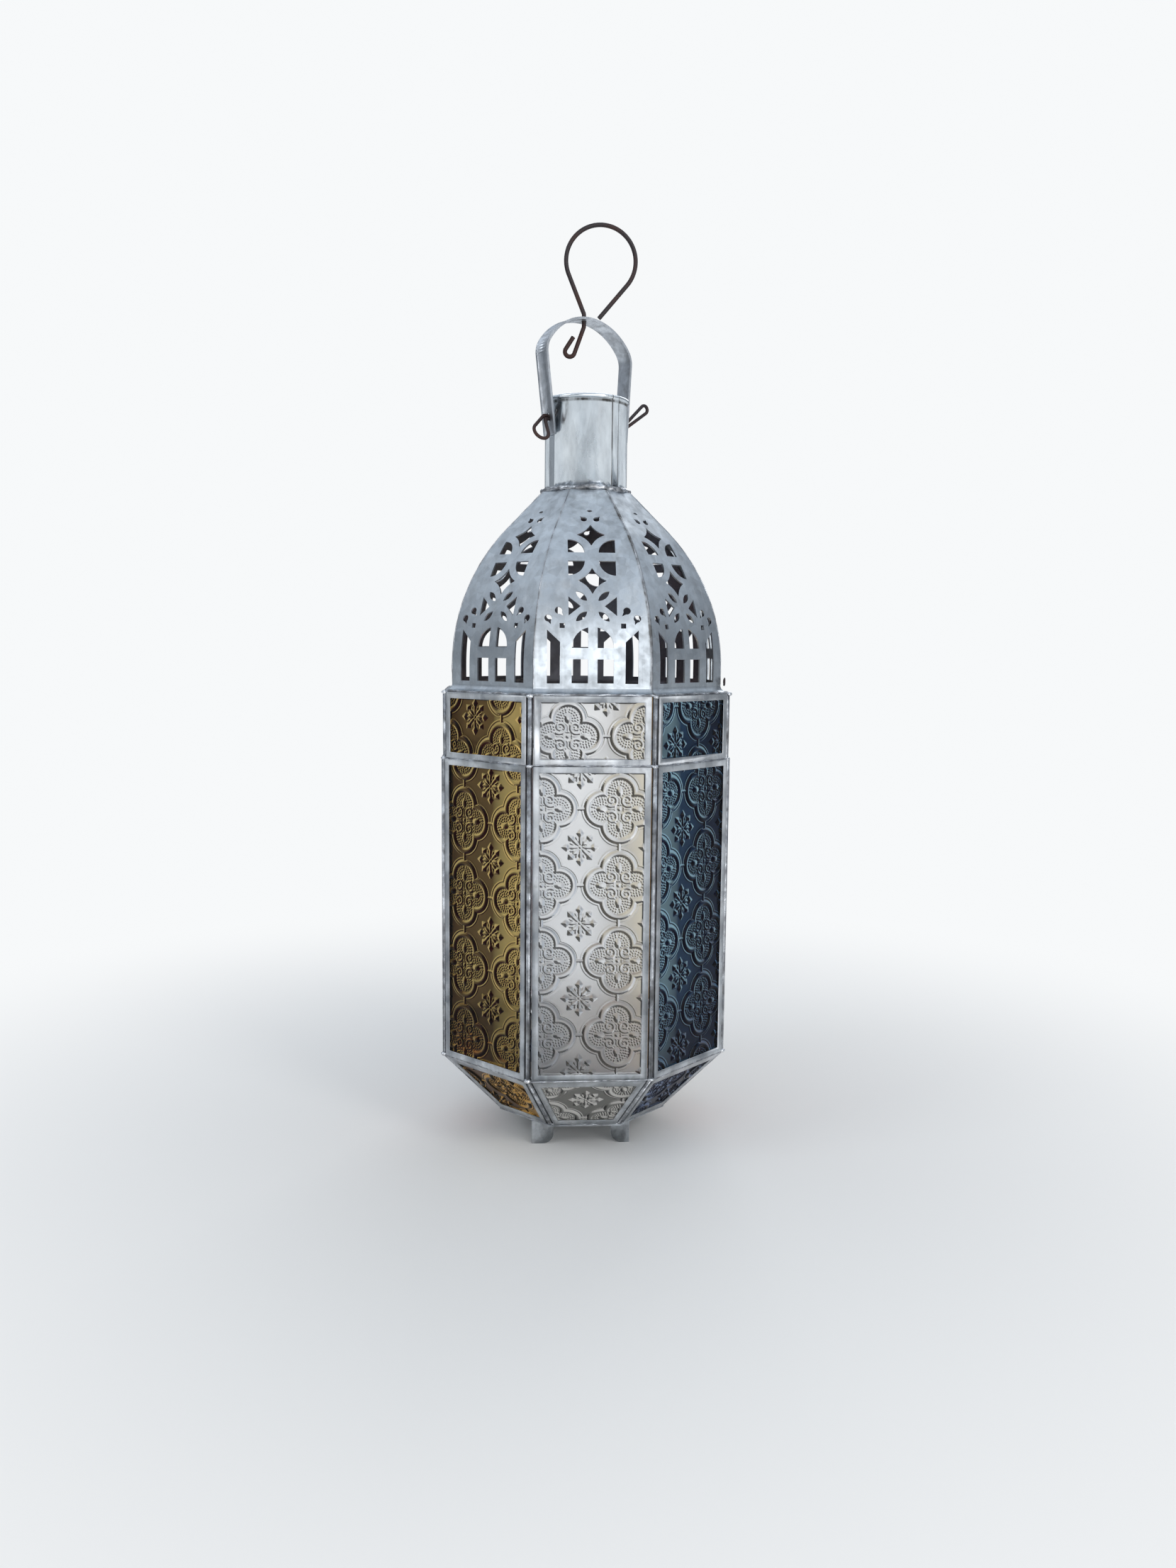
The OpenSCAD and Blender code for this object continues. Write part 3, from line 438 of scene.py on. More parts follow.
def grown(name, tree, points, material, values, body="lantern", joined=True,
          closed=False):
    """A plain mesh that a Geometry Nodes tree makes from points, or a path, in millimetres."""
    links = [(k, k + 1) for k in range(len(points) - 1)] if joined else []
    if closed:
        links.append((len(points) - 1, 0))
    mesh = bpy.data.meshes.new(name)
    mesh.from_pydata([tuple(v * MM for v in p) for p in points], links, [])
    start = bpy.data.objects.new(name + "_start", mesh)
    bpy.context.scene.collection.objects.link(start)
    tree.nodes["material"].inputs["Material"].default_value = material
    modifier = start.modifiers.new("shape", "NODES")
    modifier.node_group = tree
    for item in tree.interface.items_tree:
        if item.name in values:
            modifier[item.identifier] = values[item.name]
    ready = start.evaluated_get(bpy.context.evaluated_depsgraph_get())
    made = bpy.data.meshes.new_from_object(ready)
    made.name = name
    shape = bmesh.new()
    shape.from_mesh(made)
    bmesh.ops.recalc_face_normals(shape, faces=shape.faces)
    shape.to_mesh(made)
    shape.free()
    bpy.data.objects.remove(start)
    piece = bpy.data.objects.new(name, made)
    bpy.context.scene.collection.objects.link(piece)
    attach(piece, body)
    return piece


def octagon(apothem, height, seed):
    """Points along the eight edges, wandering a little up and down as a hand-drawn run does."""
    chance = np.random.RandomState(seed)
    waves = [(chance.randint(3, 60), chance.uniform(0, 2 * math.pi)) for _ in range(7)]
    half = apothem * math.tan(math.pi / 8)
    points = []
    for i in range(8):
        c, s = math.cos(i * math.pi / 4), math.sin(i * math.pi / 4)
        for k in range(RUN_STEPS):
            x = half * (2 * k / RUN_STEPS - 1)
            along = (i + k / RUN_STEPS) / 8 * 2 * math.pi
            wander = sum(math.sin(n * along + p) for n, p in waves) / len(waves)
            points.append((x * c + apothem * s, x * s - apothem * c, height + RUN_DRIFT * wander))
    return points


for number, (height, apothem, radius, lumps) in enumerate(RUNS):
    grown(f"solder_run_{number}", run_tree, octagon(apothem, height, number), solder,
          {"Radius": radius * MM, "Sides": 10, "Lumps": lumps * MM, "Lump scale": 520.0,
           "Seed": 2.0 + number}, closed=True)
corners = []
for height, apothem, inset in BLOB_RINGS:
    out = (apothem - inset) / math.cos(math.pi / 8)
    for k in range(8):
        turn = math.radians(22.5 + 45 * k)
        bare = BARE_TURN[0] < turn < BARE_TURN[1] and BARE_HEIGHT[0] < height < BARE_HEIGHT[1]
        if not bare:
            corners.append((out * math.cos(turn), out * math.sin(turn), height))
grown("solder_blobs", blob_tree, corners, highlit_solder,
      {"Radius": 2.0 * MM, "Flatness": 0.6, "Lumps": 1.5 * MM, "Lump scale": 420.0,
       "Seed": 5.0}, joined=False)

# Pressed panes. Coloured glass, rolled on its outer side with a lattice of quatrefoils: a
# raised double outline, beaded fields, almond petals and scrolls, and a pointed flower
# between them. Each pane is cut from the sheet and held in the channel of its frame.
PITCH, PANE_DEPTH, FINE_STEP, COARSE_STEP = 36.5, 3.0, 0.3, 0.42
# how far the bare field lies behind the CAD's face, how the pattern fades towards the frame,
# the slope that is fully painted lit or painted shaded, and where across a pane its painted
# glow towards one side starts
RELIEF_LOW, EDGE_FADE, STEEP, PAINTED_GLOW_FADE = 0.35, (-0.2, 0.5), 0.6, (-0.1, 0.8)
LOBE_PLACE, LOBE_RADIUS, MIDDLE_RADIUS = 7.9, 7.5, 6.0
OUTLINE_INSET, OUTLINE_WIDTH, OUTLINE_RISE = 0.15, 1.35, 0.85
OUTER_LINE_PLACE, OUTER_LINE_WIDTH, OUTER_LINE_RISE = 2.1, 0.5, 0.16
# the field inside the outline, its rows of beads, and the part of the middle without them
FIELD_EDGE, FIELD_RISE, PLAIN_MIDDLE = (1.4, 1.9), 0.14, 2.2
BEAD_RING, BEAD_ROW, LAST_ROW, BEAD_LENGTH, BEAD_TWIST, BEAD_RISE = 6.0, 1.2, 4, 1.3, 0.7, 0.44
BAR_START, BAR_FULL, BAR_WIDTH, BAR_RISE = 2.4, 1.6, 0.9, 0.5
SCROLL_MIDDLE, SCROLL_OUT, SCROLL_IN, SCROLL_RISE = (3.7, 4.1), 3.0, 0.8, 0.66
SCROLL_START, SCROLL_TURNS, SCROLL_STEPS = 305.0, 430.0, 26
SCROLL_THICK, SCROLL_THIN = 1.25, 0.65
HEART_RADIUS, HEART_RISE = 0.95, 0.6
# of each petal: its distance from the middle, its half length and width, and its height
SEED_PLACE, SEED_SIZE, SEED_RISE = 8.5, (3.2, 1.5), 0.80
LEAF_PLACE, LEAF_SIZE, LEAF_RISE = 3.5, (2.3, 0.55), 0.5
POINT_PLACE, POINT_SIZE, POINT_RISE = 6.6, (2.5, 2.0), 1.15
SPEAR_PLACE, SPEAR_SIZE, SPEAR_RISE = 6.2, (2.2, 1.9), 1.0
PETAL_PLACE, PETAL_SIZE, PETAL_RISE = 3.3, (2.0, 1.1), 0.6
SLIP_PLACE, SLIP_SIZE, SLIP_RISE = 4.0, (1.4, 0.5), 0.4
RING_RADIUS, RING_WIDTH, RING_RISE = 1.35, 0.5, 0.35
DOT_RADIUS, DOT_RISE = 0.7, 0.55


def step_up(value, low, high):
    t = np.clip((value - low) / (high - low), 0, 1)
    return t * t * (3 - 2 * t)


def ridge(distance, half):
    """Soft round bar, highest where the distance is nothing."""
    return 0.5 + 0.5 * np.cos(np.pi * np.clip(np.abs(distance) / half, 0, 1))


def almond(along, across, length, width):
    """Rounded leaf between two arcs, highest along its middle."""
    room = width * np.clip(1 - (along / length) ** 2, 0, 1)
    rise = np.clip(1 - np.abs(across) / np.maximum(room, 1e-6), 0, 1) ** 0.6
    return np.where(room > 1e-6, rise, 0)


def seed_petal(along, across, length, width):
    """Rounded seed, smooth all over."""
    rise = np.sqrt(np.clip(1 - (along / length) ** 2 - (across / width) ** 2, 0, 1))
    return rise * np.clip(1.2 - np.abs(along / length), 0, 1)


def facet(along, across, length, width):
    """Pointed petal with a sharp crest."""
    return np.clip(1 - np.abs(along) / length - np.abs(across) / width, 0, 1)


def stud(away, radius):
    return np.clip(1 - away / radius, 0, 1) ** 0.5


def scroll(u, v):
    """C-scroll that winds in beside the quatrefoil's middle."""
    height, step = np.zeros_like(u), np.arange(SCROLL_STEPS + 1)
    turn = np.radians(SCROLL_START - SCROLL_TURNS * step / SCROLL_STEPS)
    reach = SCROLL_OUT + (SCROLL_IN - SCROLL_OUT) * step / SCROLL_STEPS
    x = SCROLL_MIDDLE[0] + reach * np.cos(turn)
    y = SCROLL_MIDDLE[1] + reach * np.sin(turn)
    for k in range(SCROLL_STEPS):
        dx, dy = x[k + 1] - x[k], y[k + 1] - y[k]
        t = np.clip(((u - x[k]) * dx + (v - y[k]) * dy) / (dx * dx + dy * dy), 0, 1)
        gap = np.hypot(u - x[k] - t * dx, v - y[k] - t * dy)
        thick = SCROLL_THICK - SCROLL_THIN * k / SCROLL_STEPS
        height = np.maximum(height, ridge(gap, thick))
    return height


def relief(x, y):
    """Height of the pressed pattern in millimetres, from the middle of a quatrefoil."""
    u = np.abs((x + PITCH / 2) % PITCH - PITCH / 2)
    v = np.abs((y + PITCH / 2) % PITCH - PITCH / 2)
    a, b = np.maximum(u, v), np.minimum(u, v)
    lobe = np.hypot(a - LOBE_PLACE, b)
    edge = np.minimum(lobe - LOBE_RADIUS, np.hypot(a, b) - MIDDLE_RADIUS)
    inside = step_up(-edge, *FIELD_EDGE)
    seed = seed_petal(a - SEED_PLACE, b, *SEED_SIZE)
    curl = scroll(u, v)
    leaf = almond(a - LEAF_PLACE, b, *LEAF_SIZE)
    heart = stud(np.hypot(u, v), HEART_RADIUS)
    covered = np.maximum.reduce([
        step_up(seed, 0, 0.15), step_up(curl, 0, 0.2), step_up(leaf, 0, 0.2),
        step_up(PLAIN_MIDDLE - np.hypot(u, v), 0, 0.5)])
    row = np.clip(np.round((BEAD_RING - lobe) / BEAD_ROW), 0, LAST_ROW)
    ring = BEAD_RING - BEAD_ROW * row
    count = np.maximum(np.round(2 * np.pi * ring / BEAD_LENGTH), 3)
    around = np.arctan2(b, a - LOBE_PLACE) * count / 2 + row * BEAD_TWIST
    beads = np.cos(around) ** 2 * np.clip(np.cos(np.pi * (lobe - ring) / BEAD_ROW), 0, 1)
    outline = np.sqrt(np.clip(1 - ((edge + OUTLINE_INSET) / OUTLINE_WIDTH) ** 2, 0, 1))
    bar = step_up(a, PITCH / 2 - BAR_START, PITCH / 2 - BAR_FULL) * ridge(b, BAR_WIDTH)
    height = np.maximum.reduce([
        FIELD_RISE * inside + BEAD_RISE * beads * inside * (1 - covered),
        OUTLINE_RISE * outline, OUTER_LINE_RISE * ridge(edge - OUTER_LINE_PLACE, OUTER_LINE_WIDTH),
        BAR_RISE * bar, SEED_RISE * seed, SCROLL_RISE * curl, LEAF_RISE * leaf,
        HEART_RISE * heart])
    p, q = PITCH / 2 - u, PITCH / 2 - v
    a, b = np.maximum(p, q), np.minimum(p, q)
    away, turn = np.hypot(p, q), np.arctan2(b, a)
    point = facet(a - POINT_PLACE, b, *POINT_SIZE)
    c, d = (a + b) / math.sqrt(2), (a - b) / math.sqrt(2)
    spear = facet(c - SPEAR_PLACE, d, *SPEAR_SIZE)
    half = np.radians(22.5)
    e, f = a * np.cos(half) + b * np.sin(half), a * np.sin(half) - b * np.cos(half)
    petals = np.maximum(almond(a - PETAL_PLACE, b, *PETAL_SIZE),
                        almond(c - PETAL_PLACE, d, *PETAL_SIZE))
    slips = almond(e - SLIP_PLACE, f, *SLIP_SIZE)
    ring = ridge(away - RING_RADIUS, RING_WIDTH) * (0.55 + 0.45 * np.cos(8 * turn))
    return np.maximum.reduce([
        height, POINT_RISE * point, SPEAR_RISE * spear, PETAL_RISE * petals,
        SLIP_RISE * slips, RING_RISE * ring, DOT_RISE * stud(away, DOT_RADIUS)])


def pane_mesh(name, half_low, half_high, low, high, window, phase, to_place, step, light_side):
    """Closed pane from low to high, whose outer face carries the pattern inside the window.

    The painted-light attribute is 1 on the slopes that face the light side, painted as
    highlights, and 0 on those that face away, painted as shade, and rises towards one side of
    the pane as a painted glow; flat is the normal that the face would have without its pattern.
    """
    across = int(2 * max(half_low, half_high) / step)
    along = int((high - low) / step)
    s, t = np.meshgrid(np.linspace(-1, 1, across + 1), np.linspace(0, 1, along + 1))
    half = half_low + (half_high - half_low) * t
    x, z = s * half, low + (high - low) * t
    side, foot, top = window
    clear = np.minimum.reduce([half - side - np.abs(x), z - low - foot, high - top - z])
    rise = (relief(x - phase[0], z - phase[1]) - RELIEF_LOW) * step_up(clear, *EDGE_FADE)
    up, right = (g / step for g in np.gradient(rise))
    # painted light: slopes that face the light side are painted lit, the others painted shaded
    painted_light = 0.5 - 0.5 * np.clip((light_side[1] * up + light_side[0] * right) / STEEP, -1, 1)
    # a painted glow, lighter towards one side of the pane
    far = step_up(-s * math.copysign(1, light_side[0]), *PAINTED_GLOW_FADE)
    painted_light = np.clip(painted_light + light_side[2] * far, 0, 1)
    front = to_place(x, -rise, z).reshape(-1, 3)
    grid = np.arange((across + 1) * (along + 1)).reshape(along + 1, across + 1)
    rim = np.concatenate([grid[0, :-1], grid[:-1, -1], grid[-1, :0:-1], grid[:0:-1, 0]])
    back = to_place(x.reshape(-1)[rim], np.full(len(rim), PANE_DEPTH), z.reshape(-1)[rim])
    back_ids = len(front) + np.arange(len(rim))
    quads = np.stack([grid[:-1, :-1], grid[:-1, 1:], grid[1:, 1:], grid[1:, :-1]], -1)
    quads = quads.reshape(-1, 4)
    walls = np.stack([rim, back_ids, np.roll(back_ids, -1), np.roll(rim, -1)], -1)
    mesh = bpy.data.meshes.new(name)
    faces = quads.tolist() + walls.tolist() + [back_ids[::-1].tolist()]
    mesh.from_pydata((np.concatenate([front, back]) * MM).tolist(), [], faces)
    smooth = np.zeros(len(faces), bool)
    smooth[:len(quads)] = True
    mesh.polygons.foreach_set("use_smooth", smooth)
    ends = np.zeros(len(mesh.edges) * 2, np.int32)
    mesh.edges.foreach_get("vertices", ends)
    on_rim = np.zeros(len(front) + len(rim), bool)
    on_rim[rim] = True
    on_rim[back_ids] = True
    sharp = on_rim[ends].reshape(-1, 2).all(1)
    mesh.attributes.new("sharp_edge", "BOOLEAN", "EDGE").data.foreach_set("value", sharp)
    plain = to_place(np.zeros(2), np.array([0.0, -1.0]), np.zeros(2))
    plain = (plain[1] - plain[0]) / np.linalg.norm(plain[1] - plain[0])
    normals = np.zeros(len(faces) * 3, np.float32)
    mesh.polygons.foreach_get("normal", normals)
    normals = normals.reshape(-1, 3)
    normals[:len(quads)] = plain
    flat = mesh.attributes.new("flat", "FLOAT_VECTOR", "FACE").data
    flat.foreach_set("vector", normals.reshape(-1))
    painted_light = np.concatenate([painted_light.reshape(-1), np.full(len(rim), 0.5)])
    mesh.attributes.new("painted_light", "FLOAT", "POINT").data.foreach_set("value", painted_light)
    return mesh


GLASS_COLOURS = {
    # flat field, painted shade on the slopes that face away from the light, painted highlight on
    # those that face it, colour for light that has already passed a pane, and the share of light
    # that goes through, roughness and index; the taper ones have a darker field and let less
    # light through, painted shade of panes that face down
    "clear_glass": (
        (0.97, 0.97, 0.965), (0.015, 0.015, 0.015), (1.0, 1.0, 1.0), (0.985, 0.985, 0.985),
        0.97, 0.28, 1.5),
    "blue_glass": (
        (0.0004, 0.0040, 0.028), (0.0, 0.0, 0.001), (0.20, 0.54, 1.0), (0.58, 0.64, 0.72),
        0.97, 0.29, 1.22),
    "ruby_glass": (
        (0.12, 0.006, 0.006), (0.002, 0.0, 0.0), (0.80, 0.08, 0.08), (0.60, 0.30, 0.28),
        0.97, 0.29, 1.22),
    "amber_glass": (
        (0.040, 0.0145, 0.0020), (0.001, 0.0, 0.0), (1.0, 0.55, 0.08), (0.92, 0.82, 0.62),
        0.97, 0.29, 1.22),
    "dusty_clear_glass": (
        (0.20, 0.195, 0.18), (0.01, 0.01, 0.01), (0.80, 0.78, 0.74), (0.8, 0.8, 0.78),
        0.6, 0.28, 1.4),
    "dusty_blue_glass": (
        (0.028, 0.032, 0.052), (0.004, 0.004, 0.008), (0.20, 0.26, 0.42), (0.5, 0.57, 0.66),
        0.6, 0.29, 1.22),
    "dusty_ruby_glass": (
        (0.08, 0.008, 0.008), (0.004, 0.0, 0.0), (0.50, 0.08, 0.08), (0.60, 0.30, 0.28),
        0.6, 0.29, 1.22),
    "dusty_amber_glass": (
        (0.076, 0.030, 0.006), (0.004, 0.002, 0.0), (0.85, 0.46, 0.10), (0.82, 0.74, 0.58),
        0.6, 0.29, 1.22),
}
RIPPLES, STREAKS, DUST = 160.0, 60.0, 420.0
RIPPLE_HEIGHT, STREAK_SHADE, DUST_ROUGH = 0.00008, (0.9, 0.9, 0.9, 1.0), 0.04
# where the painted shade and the painted highlight begin and are full along the painted-light scale
SHADE_FROM, SHADE_FULL, HIGHLIGHT_FROM, HIGHLIGHT_FULL = 0.475, 0.34, 0.53, 0.68

glass_effect, given, give = effect(
    "pressed_glass", {"Place": None, "Painted light": 0.5, "Field": BLACK, "Painted shade": BLACK,
                      "Bright": BLACK, "Sheen": 0.28}, LOOK_OUTPUTS)
tree = glass_effect
place = given["Place"]
streak = cloud(tree, place, STREAKS, low=0.3, high=0.7)
shaded = blend(tree, 1.0, given["Field"], STREAK_SHADE, "MULTIPLY")
tint = blend(tree, streak, shaded, given["Field"])
# painted shade on the slopes that face away from the light side, painted highlight on those that
# face it
tint = blend(tree, ramp(tree, given["Painted light"], SHADE_FROM, SHADE_FULL), tint, given["Painted shade"])
tint = blend(tree, ramp(tree, given["Painted light"], HIGHLIGHT_FROM, HIGHLIGHT_FULL), tint, given["Bright"])
give("Colour", tint)
dust = maths(tree, "MULTIPLY", cloud(tree, place, DUST, low=0.5, high=0.75), DUST_ROUGH)
give("Roughness", maths(tree, "ADD", given["Sheen"], dust))
ripple = maths(tree, "MULTIPLY", cloud(tree, place, RIPPLES, 2.0), RIPPLE_HEIGHT)
give("Height", ripple)

glass = {}
for name, (*tints, through, sheen, index) in GLASS_COLOURS.items():
    field, painted_shade, painted_highlight, within = (c + (1.0,) for c in tints)
    material, tree = empty_material(name)
    look = put(tree, "Group", {
        "Place": put(tree, "TexCoord").outputs["Object"],
        "Painted light": put(tree, "Attribute", attribute_name="painted_light").outputs["Fac"],
        "Field": field, "Painted shade": painted_shade, "Bright": painted_highlight, "Sheen": sheen},
        node_tree=glass_effect).outputs
    bump = put(tree, "Bump", {"Height": look["Height"], "Distance": 1.0, "Strength": 1.0})
    # only the eye meets the pattern: later rays see a flat pane, so that the lattice isn't
    # pictured again in every surface behind it
    seen = put(tree, "LightPath").outputs["Is Camera Ray"]
    later = maths(tree, "SUBTRACT", 1.0, seen)
    flat = put(tree, "Attribute", attribute_name="flat").outputs["Vector"]
    flat = put(tree, "VectorTransform", {0: flat}, vector_type="NORMAL",
               convert_from="OBJECT", convert_to="WORLD").outputs[0]
    backfacing = put(tree, "NewGeometry").outputs["Backfacing"]
    facing = put(tree, "Math", {0: backfacing, 1: -2.0, 2: 1.0}, operation="MULTIPLY_ADD")
    flat = put(tree, "VectorMath", {0: flat, 3: facing.outputs[0]}, operation="SCALE").outputs[0]
    normal = put(tree, "Mix", {0: later, 4: bump.outputs[0], 5: flat}, data_type="VECTOR")
    pane = put(tree, "BsdfPrincipled", {
        "Base Color": blend(tree, later, look["Colour"], within), "Roughness": look["Roughness"],
        "IOR": index, "Transmission Weight": through, "Specular IOR Level": 0.4,
        "Normal": normal.outputs[1]})
    put(tree, "OutputMaterial", {"Surface": pane.outputs[0]})
    glass[name] = material


def upright(turn, outer):
    """Places a pane's own width, depth and height on an upright face."""
    c, s = math.cos(turn), math.sin(turn)

    def to_place(x, y, z):
        depth = y + outer
        return np.stack([c * x - s * depth, s * x + c * depth, z], -1)
    return to_place


def sloping(turn, lean, corner, back):
    """Places a pane's own width, depth and height on a face that slopes down from a corner."""
    c, s, cl, sl = math.cos(turn), math.sin(turn), math.cos(lean), math.sin(lean)

    def to_place(x, y, z):
        y = y + back
        depth, height = y * cl - z * sl + corner[0], y * sl + z * cl + corner[1]
        return np.stack([c * x - s * depth, s * x + c * depth, height], -1)
    return to_place


def glaze(source, slot, body, material, *shape):
    piece = bpy.data.objects.new(f"pressed_{source}", pane_mesh(f"pressed_{source}", *shape))
    bpy.context.scene.collection.objects.link(piece)
    piece.data.materials.append(material)
    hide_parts(source)
    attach(piece, body)


SIDES = (
    # side by side from the front: its glass; the middle of a quatrefoil across and up on the
    # main, band and taper pane; and the step of the mesh, finer on the three sides in view
    ("clear_glass", (12.9, 142.0), (-11.7, 212.6), (17.3, -1.6), FINE_STEP),
    ("blue_glass", (10.6, 148.6), (4.6, 226.2), (-8.0, -12.0), FINE_STEP),
    ("ruby_glass", (3.0, 150.0), (-6.0, 219.0), (4.0, -20.0), COARSE_STEP),
    ("amber_glass", (-9.0, 139.0), (9.0, 205.0), (12.0, -6.0), COARSE_STEP),
    ("clear_glass", (6.0, 133.0), (1.0, 216.0), (-3.0, -15.0), COARSE_STEP),
    ("blue_glass", (-13.0, 160.0), (14.0, 222.0), (9.0, -25.0), COARSE_STEP),
    ("ruby_glass", (15.0, 127.0), (-3.0, 208.0), (-12.0, -9.0), COARSE_STEP),
    ("amber_glass", (-14.3, 132.3), (10.7, 201.6), (6.0, -18.0), FINE_STEP),
)
LIGHT_SIDES = {
    # which slopes get the painted highlight: those that face this way, right and up, and how much
    # the painted glow lightens the pane towards its far side
    "clear_glass": (0.66, 0.75, 0.0), "blue_glass": (0.95, 0.3, 0.06),
    "ruby_glass": (0.7, 0.7, 0.0), "amber_glass": (-0.95, 0.3, 0.12),
}
# widths of plain glass at the sides, foot and top of a pane, behind the lips of its frame
MAIN_WINDOW, TAPER_WINDOW = (2.4, 2.4, 2.4), (2.4, 3.8, 1.2)
# the taper falls from this corner; its panes run between two distances down the slope
TAPER_CORNER, TAPER_RISE, TAPER_RUN = (-72.5, 46.2), 33.4, 29.2
TAPER_UPPER, TAPER_LOWER, TAPER_INSET, TAPER_BACK = 4.397, 43.60, 2.770, 0.6

low, high = (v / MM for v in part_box("main_glass_1"))
for i, (slot, phase, _, _, step) in enumerate(SIDES):
    source, body = ("door_glass", "door") if i == DOOR else (f"main_glass_{i + 1}", "lantern")
    glaze(source, slot, body, glass[slot], high.x, high.x, low.z, high.z, MAIN_WINDOW, phase,
          upright(i * math.pi / 4, low.y), step, LIGHT_SIDES[slot])
low, high = (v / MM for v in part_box("band_glass_1"))
for i, (slot, _, phase, _, step) in enumerate(SIDES):
    glaze(f"band_glass_{i + 1}", slot, "lantern", glass[slot], high.x, high.x, low.z, high.z,
          MAIN_WINDOW, phase, upright(i * math.pi / 4, low.y), step, LIGHT_SIDES[slot])
lean = math.atan(TAPER_RUN / TAPER_RISE)
foot, top = ((-TAPER_CORNER[0] - down * math.sin(lean)) * math.tan(math.pi / 8) - TAPER_INSET
             for down in (TAPER_LOWER, TAPER_UPPER))
# the taper's panes take glass with a darker field that lets less light through: painted shade of
# panes that face down
for i, (slot, _, _, phase, step) in enumerate(SIDES):
    glaze(f"taper_glass_{i + 1}", slot, "lantern", glass["dusty_" + slot], foot, top,
          -TAPER_LOWER, -TAPER_UPPER, TAPER_WINDOW, phase,
          sloping(i * math.pi / 4, lean, TAPER_CORNER, TAPER_BACK), step, LIGHT_SIDES[slot])

# Dome. Eight bent panels, pierced with chisel cuts: arched windows, a flower, a wheel and
# buds. They are soldered edge to edge over a wire-thin run, and darkened inside with painted shade.
DOME_FLAT, DOME_BEND_Z, DOME_BEND, DOME_LEAN = 67.2, 244.0, 100.0, math.radians(43.0)
DOME_FOOT_Z, BROAD_SIDE = 235.5, 0.93
GORE_LOW, GORE_HIGH, GORE_STEPS, GORE_SUNK = 236.0, 331.0, 120, 0.12
# dark corners: dirt at the joints, strongest along the front right, where the extra is painted
# shade
dome_tin = tin("dome_tin", corner_dirt(0.0016, 0.3), inner_shade=0.93, clean=(0.58, 0.635, 0.685, 1),
               dull=(0.43, 0.47, 0.51, 1), cloud_scale=30.0, grime_amount=0.24, sheen=0.36,
               waves=0.55)
for i in range(8):
    name = f"dome_panel_{i + 1}"
    mesh = worked(f"pierced_{name}", name, dome_tin, smooth=25.0).data
    turn = Matrix.Rotation(-i * math.pi / 4, 3, "Z")
    normals = []
    for face in mesh.polygons:
        facing = turn @ face.normal
        for loop in face.loop_indices:
            height = mesh.vertices[mesh.loops[loop].vertex_index].co.z / MM
            lean = math.asin(min(max(height - DOME_BEND_Z, 0.0) / DOME_BEND, math.sin(DOME_LEAN)))
            bent = Vector((0.0, -math.cos(lean), math.sin(lean)))
            side = facing.dot(bent)
            if abs(side) > BROAD_SIDE and height > DOME_FOOT_Z:
                normals.append(turn.transposed() @ (bent if side > 0 else -bent))
            else:
                normals.append(face.normal.copy())
    mesh.normals_split_custom_set(normals)


def dome_line(height):
    """Distance from the axis to the middle of a face of the dome at a height."""
    rise = max(height - DOME_BEND_Z, 0.0)
    limit = DOME_BEND * math.sin(DOME_LEAN)
    bent = DOME_BEND * (1 - math.sqrt(1 - (min(rise, limit) / DOME_BEND) ** 2))
    return DOME_FLAT - bent - max(rise - limit, 0.0) * math.tan(DOME_LEAN)


for k in range(8):
    turn = math.radians(22.5 + 45 * k)
    path = []
    for height in np.linspace(GORE_LOW, GORE_HIGH, GORE_STEPS):
        out = (dome_line(height) - GORE_SUNK) / math.cos(math.pi / 8)
        path.append((out * math.cos(turn), out * math.sin(turn), height))
    grown(f"gore_solder_{k}", run_tree, path, solder,
          {"Radius": 0.26 * MM, "Sides": 8, "Lumps": 0.5 * MM, "Lump scale": 260.0,
           "Seed": 20.0 + k})

# Neck. A tin tube with a lapped seam and its rim rolled over a wire, let into the dome
# and sweated to it with a rough collar of solder.
LAP_EDGES, LAP_DIRT = (math.radians(-55.7), math.radians(-44.3)), (0.022, 0.006)
RIM_DROP, RIM_SHADOW = 3.0, (0.0012, 0.0002)
COLLAR_RADIUS, COLLAR_HEIGHT, COLLAR_WANDER, COLLAR_STEPS = 21.75, 332.6, 0.35, 220
rim_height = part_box("neck_tube")[1].z / MM - RIM_DROP


def lap_dirt_and_rim_shadow(tree, place):
    """Dirt along the two edges of the lap, and a painted shadow under the rolled rim."""
    axis = put(tree, "SeparateXYZ", {0: place}).outputs
    turn = maths(tree, "ARCTAN2", axis[1], axis[0])
    near = [maths(tree, "ABSOLUTE", maths(tree, "SUBTRACT", turn, edge)) for edge in LAP_EDGES]
    lap = ramp(tree, maths(tree, "MINIMUM", *near), *LAP_DIRT, soft=True)
    # painted shadow: a dark line just under the rolled rim
    under = maths(tree, "ABSOLUTE", maths(tree, "SUBTRACT", axis[2], rim_height * MM))
    return maths(tree, "MAXIMUM", lap, ramp(tree, under, *RIM_SHADOW, soft=True))


# the neck's sheet is lighter than the other pieces': a painted highlight of the bright band it
# reflects
lit_neck_tin = tin("lit_neck_tin", lap_dirt_and_rim_shadow, stretch=0.35, inner_shade=0.9, clean=(0.92, 0.97, 1.0, 1),
               dull=(0.70, 0.76, 0.81, 1), cloud_scale=55.0, grime_amount=0.18, sheen=0.21,
               waves=0.22)
worked("rolled_neck", "neck_tube", lit_neck_tin)
ring = [(COLLAR_RADIUS * math.cos(a), COLLAR_RADIUS * math.sin(a),
         COLLAR_HEIGHT + COLLAR_WANDER * math.sin(5 * a) * math.sin(2 * a + 1))
        for a in np.linspace(0, 2 * math.pi, COLLAR_STEPS, endpoint=False)]
collar = grown("sweated_collar", run_tree, ring, solder,
               {"Radius": 1.4 * MM, "Sides": 16, "Lumps": 3.0 * MM, "Lump scale": 360.0,
                "Seed": 40.0}, closed=True)
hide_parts("neck_collar")

